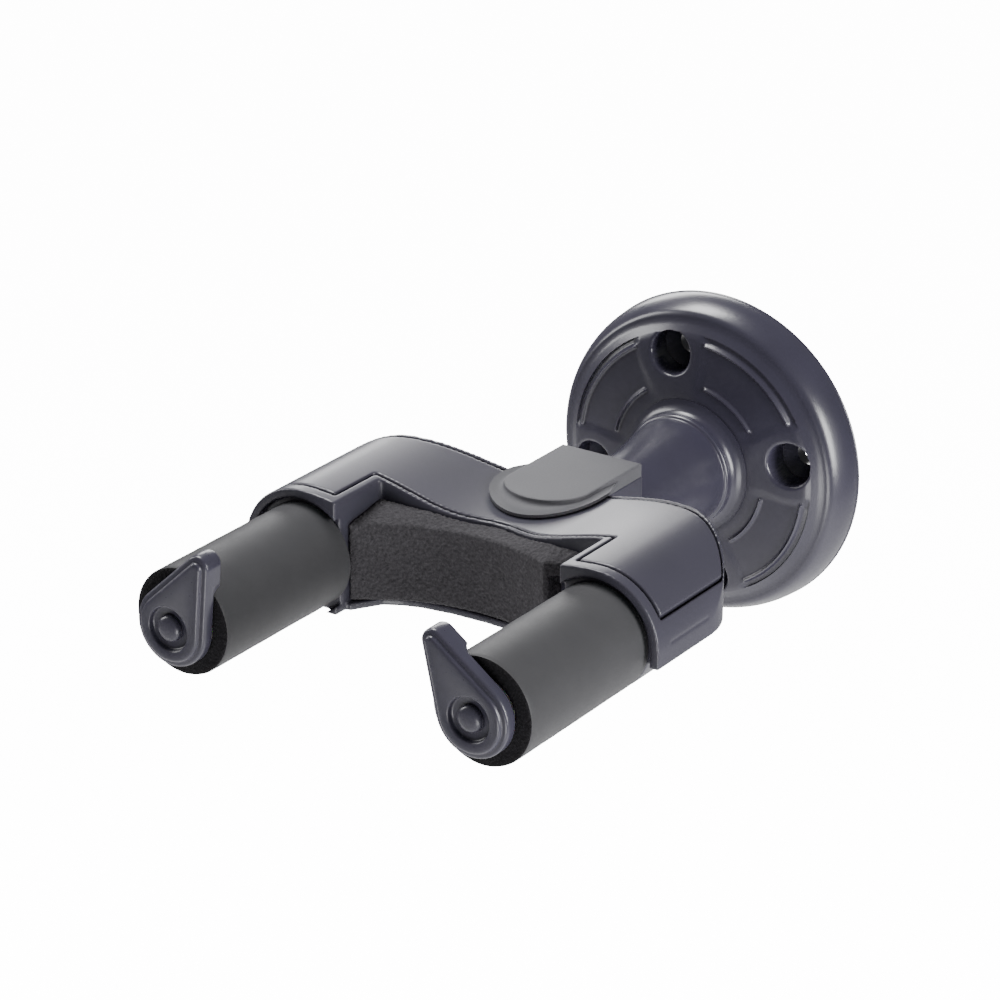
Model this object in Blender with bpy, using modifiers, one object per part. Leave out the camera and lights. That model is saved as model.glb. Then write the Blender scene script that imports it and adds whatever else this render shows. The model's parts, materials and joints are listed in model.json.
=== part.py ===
"""Wall hanger for a guitar, with a self-locking yoke.

A round cast plate screws to the wall and carries a turned neck. A sliding block is
bolted to the front of the neck, where it can swivel. The moulded yoke hangs on that
block: when a guitar's head rests on the two foam-covered arms the yoke drops a few
millimetres, and the cranks on the two gate rods, whose pins are held by the fixed
crosshead, turn the gates inwards over the strings.

Frame: the origin is the centre of the plate's back face. The wall is the plane y = 0,
the hanger reaches out along -Y, +X is to the right seen from the front and +Z is up.
Outlines across the hanger are written as (x, z) and reaches as distances from the wall.
"""

import math

import bmesh
import bpy
from mathutils import Matrix

MM = 0.001

# Clearance left between neighbouring pieces
GAP = 0.3 * MM

# Wall plate
PLATE_RADIUS = 39.0 * MM
PLATE_FACE = 13.0 * MM
PLATE_PAD_RADIUS = 11.5 * MM
PLATE_POCKET_RADIUS = 34.0 * MM
PLATE_SKIN = 5.5 * MM
HOLE_PITCH_RADIUS = 27.4 * MM
HOLE_FIRST_ANGLE = math.radians(12)
HOLE_COUNT = 4
HOLE_HEAD_RADIUS = 5.3 * MM
HOLE_HEAD_FLOOR = 5.5 * MM
HOLE_SHANK_RADIUS = 2.7 * MM
BOSS_RADIUS = 7.6 * MM
PANEL_INNER = 19.0 * MM
PANEL_OUTER = 29.6 * MM
PANEL_DEPTH = 1.4 * MM
PANEL_HALF_ANGLE = math.radians(31)

# Neck
NECK_RADIUS = 10.3 * MM
NECK_END = 48.6 * MM
NECK_ROOT_RADIUS = 9.0 * MM
NECK_ROOT_START = 4.5 * MM
SPIGOT_RADIUS = 6.0 * MM
SPIGOT_END = 62.0 * MM
NECK_SCREW_COUNT = 3
NECK_SCREW_CIRCLE = 6.3 * MM
NECK_SCREW_HEAD = 2.4 * MM
NECK_SCREW_SHANK = 1.3 * MM
NECK_SCREW_SEAT = 1.9 * MM

# Sliding block, its cap and the crosshead
BLOCK_HALF_WIDTH = 10.3 * MM
BLOCK_REAR = 49.0 * MM
BLOCK_FRONT = 81.8 * MM
BLOCK_BOTTOM = -11.0 * MM
BLOCK_TOP = 12.0 * MM
BOLT_POCKET_RADIUS = 6.6 * MM
BOLT_POCKET_FLOOR = 68.0 * MM
BOLT_HOLE_RADIUS = 2.6 * MM
BOLT_RADIUS = 2.2 * MM
BOLT_HEAD_RADIUS = 4.4 * MM
BOLT_TIP = 53.5 * MM
WING_HALF_WIDTH = 19.4 * MM
WING_REAR = 70.9 * MM
WING_FRONT = 78.4 * MM
WING_BOTTOM = -6.9 * MM
WING_TOP = -4.5 * MM
CAP_TOP = 15.5 * MM
CAP_HALF_WIDTH = 10.6 * MM
CAP_REAR = 50.2 * MM
CAP_NOSE = 71.5 * MM
CAP_FRONT = 81.0 * MM
FLANGE_LIFT = 0.4 * MM
FLANGE_THICKNESS = 0.9 * MM
FLANGE_HALF_WIDTH = 13.0 * MM
FLANGE_REAR = 62.5 * MM
FLANGE_FRONT = 85.4 * MM
CROSSHEAD_REAR = 82.1 * MM
CROSSHEAD_FRONT = 84.1 * MM
CROSSHEAD_HALF_WIDTH = 46.4 * MM
CROSSHEAD_BOTTOM = -4.4 * MM
CROSSHEAD_MIDDLE_TOP = 1.6 * MM
CROSSHEAD_END_TOP = 3.9 * MM
CROSSHEAD_SCREW_X = 7.6 * MM
CROSSHEAD_SCREW_Z = -1.4 * MM
CAP_PEG_REACHES = (55.0 * MM, 77.0 * MM)
CAP_PEG_RADIUS = 1.1 * MM

# Yoke
ARM_X = 38.5 * MM
ARM_Z = 3.2 * MM
YOKE_REAR = 65.0 * MM
REAR_SWEEP = 6.5 * MM
YOKE_MIDDLE_TOP = 12.2 * MM
YOKE_FLOOR = -9.0 * MM
FLOOR_THICKNESS = 1.8 * MM
HOOD_RADIUS = 15.6 * MM
HOOD_SKIRT = -0.3 * MM
HOOD_FRONT = 112.3 * MM
HOOD_WALL_X = 29.3 * MM
CRADLE_RADIUS = 12.2 * MM
BROW_FRONT = 91.0 * MM
BROW_DEPTH = 4.3 * MM
BROW_SPREAD = 9.5 * MM
CORNER_START_X = 36.0 * MM
CORNER_END = 91.0 * MM
CORNER_PULL = 11.8 * MM
SHELL_WALL = 3.0 * MM
REAR_WALL = 2.3 * MM
COVER_THICKNESS = 2.0 * MM
COVER_HALF_WIDTH = 52.2 * MM
COVER_EDGE = 10.1 * MM
NOTCH_HALF_WIDTH = 11.0 * MM
NOTCH_FRONT = 82.5 * MM
NOSE_START = 72.0 * MM
BLOCK_NOSE_BOTTOM = 1.8 * MM
CAVITY_FRONT = 88.8 * MM
CLAMP_REACH = 100.0 * MM
SOCKET_FACE = 110.4 * MM
RECESS_RADIUS = 13.6 * MM
POST_RADIUS = 3.0 * MM
COVER_SCREW_HOLE = 1.5 * MM
BOSS_DROP = 6.0 * MM
COVER_SCREW_SPOTS = ((24.0 * MM, 75.5 * MM), (34.0 * MM, 78.2 * MM))

# Foam neck pad between the arms
PAD_HALF_WIDTH = 27.4 * MM
PAD_FACE_MIDDLE = 97.6 * MM
PAD_FACE_RADIUS = 46.0 * MM
PAD_BOTTOM = -6.9 * MM
PAD_TOP = 11.4 * MM
FLOOR_LIP_FRONT = 97.2 * MM

# Arms
TUBE_RADIUS = 8.0 * MM
TUBE_BORE = 6.0 * MM
TUBE_REAR = 89.8 * MM
TUBE_FRONT = 152.0 * MM
SLEEVE_RADIUS = 12.2 * MM
SLEEVE_BORE = 8.3 * MM
SLEEVE_REAR = 110.7 * MM
SLEEVE_FRONT = 154.5 * MM
BUSH_FLANGE_RADIUS = 7.4 * MM
BUSH_FLANGE = 1.0 * MM
BUSH_RADIUS = 5.7 * MM
BUSH_BORE = 2.8 * MM
BUSH_LENGTH = 6.0 * MM

# Gates: how far the yoke drops, how far the gates turn and how they stand at rest
DROP = 8.0 * MM
GATE_TRAVEL = math.radians(62)
GATE_LEAN = {"left": math.radians(26), "right": math.radians(33)}
SIDES = {"left": -1, "right": 1}
GATE_BACK = 155.2 * MM
GATE_FRONT = 159.2 * MM
GATE_HUB_RADIUS = 8.9 * MM
GATE_TIP = 20.0 * MM
GATE_TAPER = math.radians(20)
GATE_RECESS_RADIUS = 5.0 * MM
GATE_RECESS_DEPTH = 1.4 * MM
GATE_LIP_START = 13.2 * MM
GATE_LIP_BACK = 153.2 * MM
ROD_RADIUS = 2.5 * MM
ROD_REAR = 84.9 * MM
ROD_FRONT = 157.3 * MM
CRANK_REAR = 84.5 * MM
CRANK_FRONT = 87.8 * MM
CRANK_HUB_RADIUS = 4.6 * MM
CRANK_ARM_HALF_WIDTH = 2.4 * MM
CRANK_PIN_RADIUS = 1.5 * MM
CRANK_PIN_END = 81.6 * MM

# Return springs
SPRING_X = 15.3 * MM
SPRING_REACH = 74.6 * MM
SPRING_RADIUS = 3.1 * MM
SPRING_WIRE = 0.4 * MM
SPRING_TURNS = 6
SPRING_TOP = 10.9 * MM

# Worked out from the drop, so that the pins keep to one height while the gates turn
CRANK_START = math.radians(-22)
CRANK_RADIUS = DROP / (math.sin(CRANK_START + GATE_TRAVEL) - math.sin(CRANK_START))
MEAN_LEAN = sum(GATE_LEAN.values()) / len(GATE_LEAN)
PIN_LEVEL = ARM_Z + CRANK_RADIUS * math.sin(CRANK_START)
FORK_HALF_HEIGHT = CRANK_PIN_RADIUS + 0.95 * MM
FORK_START = 42.4 * MM

# Local X stays X, local Y becomes up and local Z points away from the wall
OUTWARD = Matrix.Rotation(math.radians(90), 4, "X")


# ---------------------------------------------------------------- scene and materials

for old in list(bpy.data.objects):
    bpy.data.objects.remove(old, do_unlink=True)

parts = bpy.data.collections.new("guitar_wall_hanger")
cutters = bpy.data.collections.new("cutters")
for group in (parts, cutters):
    bpy.context.scene.collection.children.link(group)


def material(name, colour, roughness, metallic=0.0):
    """A Principled material from an sRGB hex colour."""
    made = bpy.data.materials.new(name)
    made.use_nodes = True
    shader = made.node_tree.nodes["Principled BSDF"]
    channels = [int(colour[i:i + 2], 16) / 255 for i in (0, 2, 4)]
    linear = [c / 12.92 if c <= 0.04045 else ((c + 0.055) / 1.055) ** 2.4 for c in channels]
    shader.inputs["Base Color"].default_value = (*linear, 1)
    shader.inputs["Roughness"].default_value = roughness
    shader.inputs["Metallic"].default_value = metallic
    made.diffuse_color = (*linear, 1)
    return made


PAINTED_METAL = material("painted_metal", "4c4a55", 0.42, 0.3)
MOULDED_PLASTIC = material("moulded_plastic", "4a4854", 0.45)
CAP_PLASTIC = material("cap_plastic", "84848a", 0.55)
GATE_PLASTIC = material("gate_plastic", "45434f", 0.4)
SLEEVE_FOAM = material("sleeve_foam", "5e5e60", 0.7)
PAD_FOAM = material("pad_foam", "3c3b3f", 0.95)
STEEL = material("zinc_plated_steel", "a8aaad", 0.3, 1.0)
NYLON = material("white_nylon", "d8d6cc", 0.5)


# ---------------------------------------------------------------------- mesh builders

def add(name, mesh, group, place=None):
    """Link a mesh as a new object at a world matrix."""
    made = bpy.data.objects.new(name, mesh)
    made.matrix_world = place or Matrix()
    group.objects.link(made)
    return made


def mesh_from(name, bm):
    mesh = bpy.data.meshes.new(name)
    bm.to_mesh(mesh)
    bm.free()
    return mesh


def turned(name, profile, steps=32, ring=False, x=0.0, z=0.0, group=parts):
    """Turn (radius, reach) points about an axis that points away from the wall.

    The points run from the front down the outer side to the back. A ring's profile is
    closed along its bore; any other profile starts and ends on the axis.
    """
    bm = bmesh.new()
    dots = [bm.verts.new((radius, 0, reach)) for radius, reach in profile]
    ends = zip(dots, dots[1:] + dots[:1]) if ring else zip(dots, dots[1:])
    for first, second in ends:
        bm.edges.new((first, second))
    place = Matrix.Translation((x, 0, z)) @ OUTWARD
    made = add(name, mesh_from(name, bm), group, place)
    screw = made.modifiers.new("turn", "SCREW")
    screw.steps = screw.render_steps = steps
    screw.use_merge_vertices = True
    screw.merge_threshold = 0.00001
    screw.use_smooth_shade = True
    return made


def prism(name, outline, low, high, upright=False, group=parts, place=None):
    """Extrude a flat outline between two reaches, or between two heights if upright."""
    curve = bpy.data.curves.new(name, "CURVE")
    curve.dimensions = "2D"
    curve.fill_mode = "BOTH"
    curve.extrude = (high - low) / 2
    spline = curve.splines.new("POLY")
    spline.points.add(len(outline) - 1)
    for point, (u, v) in zip(spline.points, outline):
        point.co = (u, v, 0, 1)
    spline.use_cyclic_u = True
    shift = Matrix.Translation((0, 0, (low + high) / 2))
    frame = shift if upright else OUTWARD @ shift
    if place is not None:
        frame = place @ frame
    return curve_to_mesh(add(name, curve, group, frame), group)


def curve_to_mesh(curve_object, group=parts):
    """Replace a curve object by its mesh, with the caps welded on."""
    bpy.context.view_layer.update()
    graph = bpy.context.evaluated_depsgraph_get()
    mesh = bpy.data.meshes.new_from_object(curve_object.evaluated_get(graph))
    name, place = curve_object.name, curve_object.matrix_world.copy()
    bpy.data.objects.remove(curve_object, do_unlink=True)
    bm = bmesh.new()
    bm.from_mesh(mesh)
    bmesh.ops.remove_doubles(bm, verts=bm.verts, dist=0.000001)
    bmesh.ops.recalc_face_normals(bm, faces=bm.faces)
    bm.to_mesh(mesh)
    bm.free()
    return add(name, mesh, group, place)


def cylinder(name, radius, low, high, x=0.0, across=0.0, upright=False, sides=24,
             group=cutters):
    """A cylinder between two reaches, or between two heights if upright.

    across is its height, or its reach from the wall if it is upright.
    """
    bm = bmesh.new()
    bmesh.ops.create_cone(bm, cap_ends=True, segments=sides, radius1=radius,
                          radius2=radius, depth=high - low)
    middle = (low + high) / 2
    if upright:
        place = Matrix.Translation((x, -across, middle))
    else:
        place = Matrix.Translation((x, -middle, across)) @ OUTWARD
    return add(name, mesh_from(name, bm), group, place)


def box(name, x_range, reach_range, z_range, group=cutters):
    bm = bmesh.new()
    bmesh.ops.create_cube(bm, size=1)
    spans = (x_range, [-reach for reach in reversed(reach_range)], z_range)
    size = Matrix.Diagonal([high - low for low, high in spans] + [1])
    bm.transform(size)
    middle = [(low + high) / 2 for low, high in spans]
    return add(name, mesh_from(name, bm), group, Matrix.Translation(middle))


def combine(target, tool, operation="DIFFERENCE", solver="EXACT"):
    """Cut or join target with tool, which moves to the cutters.

    MANIFOLD suits cuts whose faces lie level with faces of the target.
    """
    for holder in list(tool.users_collection):
        holder.objects.unlink(tool)
    cutters.objects.link(tool)
    tool.hide_render = True
    tool.display_type = "WIRE"
    step = target.modifiers.new(tool.name, "BOOLEAN")
    step.operation = operation
    step.solver = solver
    step.object = tool


def arc(centre, radius, start, end, count):
    """Points on a circle from one angle to another, in degrees, both ends included."""
    angles = [math.radians(start + (end - start) * i / count) for i in range(count + 1)]
    return [(centre[0] + radius * math.cos(a), centre[1] + radius * math.sin(a)) for a in angles]


def bezier(p0, p1, p2, p3, count):
    """Points on a cubic curve from p0 to p3, both ends included."""
    points = []
    for i in range(count + 1):
        t = i / count
        weights = ((1 - t) ** 3, 3 * t * (1 - t) ** 2, 3 * t * t * (1 - t), t ** 3)
        points.append(tuple(sum(w * p[k] for w, p in zip(weights, (p0, p1, p2, p3)))
                            for k in (0, 1)))
    return points


def mirrored(right_half):
    """Close an outline whose right half runs from the centre line round to it again."""
    left_half = [(-x, y) for x, y in reversed(right_half) if x > 0]
    return right_half + left_half


def finish(made, finish_material, body):
    """Give a part its material, shading and the empty that it moves with."""
    data = made.data
    data.materials.clear()
    data.materials.append(finish_material)
    if isinstance(data, bpy.types.Mesh):
        data.shade_smooth()
        data.set_sharp_from_angle(angle=math.radians(35))
    place = made.matrix_world.copy()
    made.parent = body
    made.matrix_parent_inverse = body.matrix_world.inverted()
    made.matrix_world = place
    return made


# ------------------------------------------------------------------------- the bodies

def pivot(name, x, reach, z, parent=None):
    """An empty that stands on a joint's axis."""
    made = bpy.data.objects.new(name, None)
    made.empty_display_size = 10 * MM
    parts.objects.link(made)
    made.location = (x, -reach, z)
    bpy.context.view_layer.update()
    if parent is not None:
        place = made.matrix_world.copy()
        made.parent = parent
        made.matrix_parent_inverse = parent.matrix_world.inverted()
        made.matrix_world = place
        bpy.context.view_layer.update()
    return made


wall_mount = pivot("wall_mount_body", 0, 0, 0)
head = pivot("head_body", 0, NECK_END, 0, wall_mount)
yoke = pivot("yoke_body", 0, YOKE_REAR, ARM_Z, head)
gate_bodies = {side: pivot(f"gate_{side}_body", sign * ARM_X, GATE_BACK, ARM_Z, yoke)
               for side, sign in SIDES.items()}


# ------------------------------------------------------------------------- wall plate

def make_wall_plate():
    """Domed casting with a stepped rim, four screw bosses and a hollow back."""
    rim = [(24.0, 12.6), (28.0, 12.2), (31.0, 11.75), (33.0, 10.8), (34.6, 9.75), (36.0, 9.3),
           (37.0, 8.4), (37.9, 6.8), (38.6, 4.9), (39.0, 2.8)]
    profile = [(0, PLATE_FACE), (PANEL_INNER - MM, PLATE_FACE)]
    profile += [(radius * MM, reach * MM) for radius, reach in rim]
    profile += [(PLATE_RADIUS, 0), (0, 0)]
    plate = turned("wall_plate", profile, steps=48)

    pocket = turned("plate_pocket", [
        (PLATE_POCKET_RADIUS, PLATE_FACE - PLATE_SKIN), (PLATE_POCKET_RADIUS, -MM),
        (PLATE_PAD_RADIUS, -MM), (PLATE_PAD_RADIUS, PLATE_FACE - PLATE_SKIN)],
        steps=40, ring=True, group=cutters)
    for number in range(HOLE_COUNT):
        angle = HOLE_FIRST_ANGLE + number * math.tau / HOLE_COUNT
        x = HOLE_PITCH_RADIUS * math.cos(angle)
        z = HOLE_PITCH_RADIUS * math.sin(angle)
        boss = cylinder(f"hole_boss_{number}", BOSS_RADIUS, -2 * MM, PLATE_FACE, x, z)
        combine(pocket, boss)
    combine(plate, pocket, solver="MANIFOLD")

    for number in range(HOLE_COUNT):
        angle = HOLE_FIRST_ANGLE + number * math.tau / HOLE_COUNT
        x = HOLE_PITCH_RADIUS * math.cos(angle)
        z = HOLE_PITCH_RADIUS * math.sin(angle)
        cone_top = HOLE_HEAD_FLOOR
        cone_foot = cone_top - (HOLE_HEAD_RADIUS - HOLE_SHANK_RADIUS)
        hole = turned(f"screw_hole_{number}", [
            (0, PLATE_FACE + 3 * MM), (HOLE_HEAD_RADIUS, PLATE_FACE + 3 * MM),
            (HOLE_HEAD_RADIUS, cone_top), (HOLE_SHANK_RADIUS, cone_foot),
            (HOLE_SHANK_RADIUS, -MM), (0, -MM)], steps=20, x=x, z=z, group=cutters)
        combine(plate, hole, solver="MANIFOLD")

        middle = math.degrees(angle) + 45
        half = math.degrees(PANEL_HALF_ANGLE)
        outline = arc((0, 0), PANEL_OUTER, middle - half, middle + half, 8)
        outline += arc((0, 0), PANEL_INNER, middle + half, middle - half, 5)
        panel = prism(f"panel_{number}", outline, PLATE_FACE - PANEL_DEPTH,
                      PLATE_FACE + 3 * MM, group=cutters)
        combine(plate, panel, solver="MANIFOLD")

    socket = cylinder("neck_socket", NECK_ROOT_RADIUS + GAP, NECK_ROOT_START - GAP,
                      PLATE_FACE + MM, sides=32)
    combine(plate, socket, solver="MANIFOLD")
    for number in range(NECK_SCREW_COUNT):
        angle = math.radians(90) + number * math.tau / NECK_SCREW_COUNT
        x, z = NECK_SCREW_CIRCLE * math.cos(angle), NECK_SCREW_CIRCLE * math.sin(angle)
        head_room = NECK_SCREW_HEAD + GAP
        shank_room = NECK_SCREW_SHANK + GAP
        seat = NECK_SCREW_SEAT + GAP
        hole = turned(f"neck_screw_hole_{number}", [
            (0, NECK_ROOT_START + MM), (shank_room, NECK_ROOT_START + MM),
            (shank_room, seat), (head_room, seat), (head_room, -MM), (0, -MM)],
            steps=16, x=x, z=z, group=cutters)
        combine(plate, hole, solver="MANIFOLD")
    return finish(plate, PAINTED_METAL, wall_mount)


make_wall_plate()


# ------------------------------------------------------------------------------- neck

def make_neck():
    """Turned neck: a root in the plate, a rounded foot, a waist and a front spigot."""
    foot = [(10.3, 44.0), (10.5, 38.0), (11.1, 31.0), (12.1, 24.5), (12.9, 20.6),
            (12.7, 19.4), (12.5, 18.2), (13.3, 16.6), (14.6, 14.6), (16.4, 13.3)]
    profile = [(0, SPIGOT_END), (SPIGOT_RADIUS, SPIGOT_END), (SPIGOT_RADIUS, NECK_END),
               (NECK_RADIUS, NECK_END)]
    profile += [(radius * MM, reach * MM) for radius, reach in foot]
    profile += [(NECK_ROOT_RADIUS, PLATE_FACE + GAP), (NECK_ROOT_RADIUS, NECK_ROOT_START),
                (0, NECK_ROOT_START)]
    neck = turned("neck", profile, steps=28)
    combine(neck, cylinder("bolt_thread", BOLT_RADIUS + GAP, BOLT_TIP - GAP,
                           SPIGOT_END + MM, sides=20))
    for number in range(NECK_SCREW_COUNT):
        angle = math.radians(90) + number * math.tau / NECK_SCREW_COUNT
        x, z = NECK_SCREW_CIRCLE * math.cos(angle), NECK_SCREW_CIRCLE * math.sin(angle)
        thread = cylinder(f"neck_thread_{number}", NECK_SCREW_SHANK + GAP,
                          NECK_ROOT_START - MM, 11 * MM, x, z, sides=16)
        combine(neck, thread)
        screw = turned(f"neck_screw_{number + 1}", [
            (0, 10.5 * MM), (NECK_SCREW_SHANK, 10.5 * MM),
            (NECK_SCREW_SHANK, NECK_SCREW_SEAT), (NECK_SCREW_HEAD, NECK_SCREW_SEAT),
            (NECK_SCREW_HEAD, GAP), (0, GAP)], steps=16, x=x, z=z)
        finish(screw, STEEL, wall_mount)
    return finish(neck, PAINTED_METAL, wall_mount)


make_neck()


# ------------------------------------------------- outlines that follow the yoke's top

def top_height(x):
    """Height of the yoke's top, which rises from the middle to a crest over each arm."""
    rise = HOOD_RADIUS + ARM_Z - YOKE_MIDDLE_TOP
    run = min(abs(x) / ARM_X, 1)
    return YOKE_MIDDLE_TOP + rise * (1 - math.cos(math.pi * run)) / 2


def brow_reach(x):
    """Front edge of the yoke between the arms, over the foam pad."""
    return BROW_FRONT + BROW_DEPTH * (1 - math.exp(-(x / BROW_SPREAD) ** 2))


def rear_reach(x):
    """Rear edge of the yoke, out to where its corners start."""
    return YOKE_REAR + REAR_SWEEP * (abs(x) / CORNER_START_X) ** 1.5


def corner(end_x, margin, side):
    """Rounded rear corner, from the outer side round to the rear edge."""
    rear_end = CORNER_START_X - side
    handle = 7 * MM
    slope = 1.5 * REAR_SWEEP / CORNER_START_X
    back = rear_reach(CORNER_START_X) + margin
    return bezier((end_x, CORNER_END), (end_x, CORNER_END - CORNER_PULL + margin),
                  (rear_end + handle, back + slope * handle), (rear_end, back), 8)


def top_line(sink, end_x):
    """Right half of the top, from the centre out to end_x, sunk by a thickness."""
    steps = 10
    spots = [ARM_X * i / steps for i in range(steps)]
    line = [(x, top_height(x) - sink) for x in spots]
    radius = HOOD_RADIUS - sink
    last = math.degrees(math.acos(min((end_x - ARM_X) / radius, 1)))
    return line + arc((ARM_X, ARM_Z), radius, 90, last, 7)


def yoke_plan(edge, wall, front, side, rear):
    """Right half of the yoke seen from above, drawn in by a margin at each border."""
    corner_x = HOOD_WALL_X + wall
    half_side = ARM_X + HOOD_RADIUS - side
    spots = [HOOD_WALL_X * i / 8 for i in range(8)]
    points = [(x, brow_reach(x) - edge) for x in spots]
    points += [(corner_x, brow_reach(corner_x) - edge), (corner_x, HOOD_FRONT - front),
               (half_side, HOOD_FRONT - front)]
    points += corner(half_side, rear, side)
    return points + [(x, rear_reach(x) + rear) for x in rear_spots()]


def rear_spots():
    """Places along the rear edge, from the corner in to the centre line."""
    return [CORNER_START_X * i / 6 for i in range(5, -1, -1)]


# ------------------------------------------------------- sliding block and its pieces

def make_block():
    """Moulded block that fills the yoke's slot, with a wing under each spring."""
    block = box("sliding_block", (-BLOCK_HALF_WIDTH, BLOCK_HALF_WIDTH),
                (BLOCK_REAR, BLOCK_FRONT), (BLOCK_BOTTOM, BLOCK_TOP), group=parts)
    wings = box("block_wings", (-WING_HALF_WIDTH, WING_HALF_WIDTH),
                (WING_REAR, WING_FRONT), (WING_BOTTOM, WING_TOP))
    combine(block, wings, "UNION")
    beside = [(NOTCH_HALF_WIDTH, NOSE_START), (BLOCK_HALF_WIDTH, NOSE_START)]
    beside += arc((0, NOSE_START), BLOCK_HALF_WIDTH, 10, 90, 8)
    beside += [(0, BLOCK_FRONT + MM), (NOTCH_HALF_WIDTH, BLOCK_FRONT + MM)]
    for side, sign in SIDES.items():
        outline = [(sign * x, -reach) for x, reach in beside]
        corner_cut = prism(f"nose_cut_{side}", outline, BLOCK_NOSE_BOTTOM, BLOCK_TOP + MM,
                           upright=True, group=cutters)
        combine(block, corner_cut, solver="MANIFOLD")
    bore = turned("block_bore", [
        (0, BLOCK_FRONT + MM), (BOLT_POCKET_RADIUS, BLOCK_FRONT + MM),
        (BOLT_POCKET_RADIUS, BOLT_POCKET_FLOOR), (BOLT_HOLE_RADIUS, BOLT_POCKET_FLOOR),
        (BOLT_HOLE_RADIUS, SPIGOT_END + GAP), (SPIGOT_RADIUS + GAP, SPIGOT_END + GAP),
        (SPIGOT_RADIUS + GAP, BLOCK_REAR - MM), (0, BLOCK_REAR - MM)],
        steps=24, group=cutters)
    combine(block, bore)
    for side, sign in SIDES.items():
        thread = cylinder(f"crosshead_thread_{side}", 1.5 * MM, BLOCK_FRONT - 7 * MM,
                          BLOCK_FRONT + MM, sign * CROSSHEAD_SCREW_X, CROSSHEAD_SCREW_Z,
                          sides=12)
        combine(block, thread)
    for number, reach in enumerate(CAP_PEG_REACHES):
        hole = cylinder(f"peg_hole_{number}", CAP_PEG_RADIUS + GAP, BLOCK_TOP - 4 * MM,
                        BLOCK_TOP + MM, 0, reach, upright=True, sides=12)
        combine(block, hole)
    return finish(block, MOULDED_PLASTIC, head)


def make_cap():
    """D-shaped cap that closes the slot, with a thin flange over the yoke's cover."""
    nose = [(CAP_HALF_WIDTH, CAP_REAR), (CAP_HALF_WIDTH, CAP_NOSE)]
    nose += [(CAP_HALF_WIDTH * math.cos(t), CAP_NOSE + (CAP_FRONT - CAP_NOSE) * math.sin(t))
             for t in [math.radians(90 * i / 7) for i in range(1, 8)]]
    skirt = [(FLANGE_HALF_WIDTH, FLANGE_REAR), (FLANGE_HALF_WIDTH, CAP_NOSE)]
    skirt += [(FLANGE_HALF_WIDTH * math.cos(t),
               CAP_NOSE + (FLANGE_FRONT - CAP_NOSE) * math.sin(t))
              for t in [math.radians(90 * i / 7) for i in range(1, 8)]]
    cap = prism("block_cap", plan(nose), BLOCK_TOP + GAP, CAP_TOP, upright=True)
    spots = [FLANGE_HALF_WIDTH * i / 5 + i * 0.1 * MM for i in range(6)]
    low = [(x, top_height(x) + FLANGE_LIFT) for x in spots]
    high = [(x, z + FLANGE_THICKNESS) for x, z in reversed(low)]
    flange = prism("cap_flange", mirrored(low + high), 50 * MM, 100 * MM, group=cutters)
    flange_plan = prism("cap_flange_plan", plan(skirt), 0, 40 * MM, upright=True,
                        group=cutters)
    combine(flange, flange_plan, "INTERSECT")
    combine(cap, flange, "UNION")
    for number, reach in enumerate(CAP_PEG_REACHES):
        hole = cylinder(f"cap_hole_{number}", CAP_PEG_RADIUS + GAP, BLOCK_TOP - MM,
                        CAP_TOP - 1.2 * MM, 0, reach, upright=True, sides=12)
        combine(cap, hole)
        peg = cylinder(f"cap_peg_{number + 1}", CAP_PEG_RADIUS, BLOCK_TOP - 3.5 * MM,
                       CAP_TOP - 1.5 * MM, 0, reach, upright=True, sides=12, group=parts)
        finish(peg, STEEL, head)
    return finish(cap, CAP_PLASTIC, head)


def plan(right_half):
    """Mirror a plan outline of (x, reach) points and turn reaches into world y."""
    return [(x, -reach) for x, reach in mirrored(right_half)]


def make_crosshead():
    """Steel plate on the front of the block, forked at both ends for the crank pins."""
    outline = mirrored([
        (0, CROSSHEAD_MIDDLE_TOP), (22 * MM, CROSSHEAD_MIDDLE_TOP),
        (26 * MM, CROSSHEAD_END_TOP), (CROSSHEAD_HALF_WIDTH, CROSSHEAD_END_TOP),
        (CROSSHEAD_HALF_WIDTH, CROSSHEAD_BOTTOM + 1.4 * MM),
        (CROSSHEAD_HALF_WIDTH - 1.8 * MM, CROSSHEAD_BOTTOM), (0, CROSSHEAD_BOTTOM)])
    crosshead = prism("crosshead", outline, CROSSHEAD_REAR, CROSSHEAD_FRONT)
    for side, sign in SIDES.items():
        span = sorted((sign * FORK_START, sign * (CROSSHEAD_HALF_WIDTH + MM)))
        fork = box(f"fork_{side}", span, (CROSSHEAD_REAR - MM, CROSSHEAD_FRONT + MM),
                   (PIN_LEVEL - FORK_HALF_HEIGHT, PIN_LEVEL + FORK_HALF_HEIGHT))
        combine(crosshead, fork, solver="MANIFOLD")
        x, z = sign * CROSSHEAD_SCREW_X, CROSSHEAD_SCREW_Z
        hole = cylinder(f"crosshead_hole_{side}", 1.5 * MM, CROSSHEAD_REAR - MM,
                        CROSSHEAD_FRONT + MM, x, z, sides=12)
        combine(crosshead, hole)
        face = CROSSHEAD_FRONT + GAP
        tip = BLOCK_FRONT - 6.5 * MM
        screw = turned(f"crosshead_screw_{side}", [
            (0, face + 1.4 * MM), (2.6 * MM, face + 1.4 * MM), (2.6 * MM, face),
            (1.2 * MM, face), (1.2 * MM, tip), (0, tip)], steps=16, x=x, z=z)
        finish(screw, STEEL, head)
    return finish(crosshead, STEEL, head)


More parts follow.
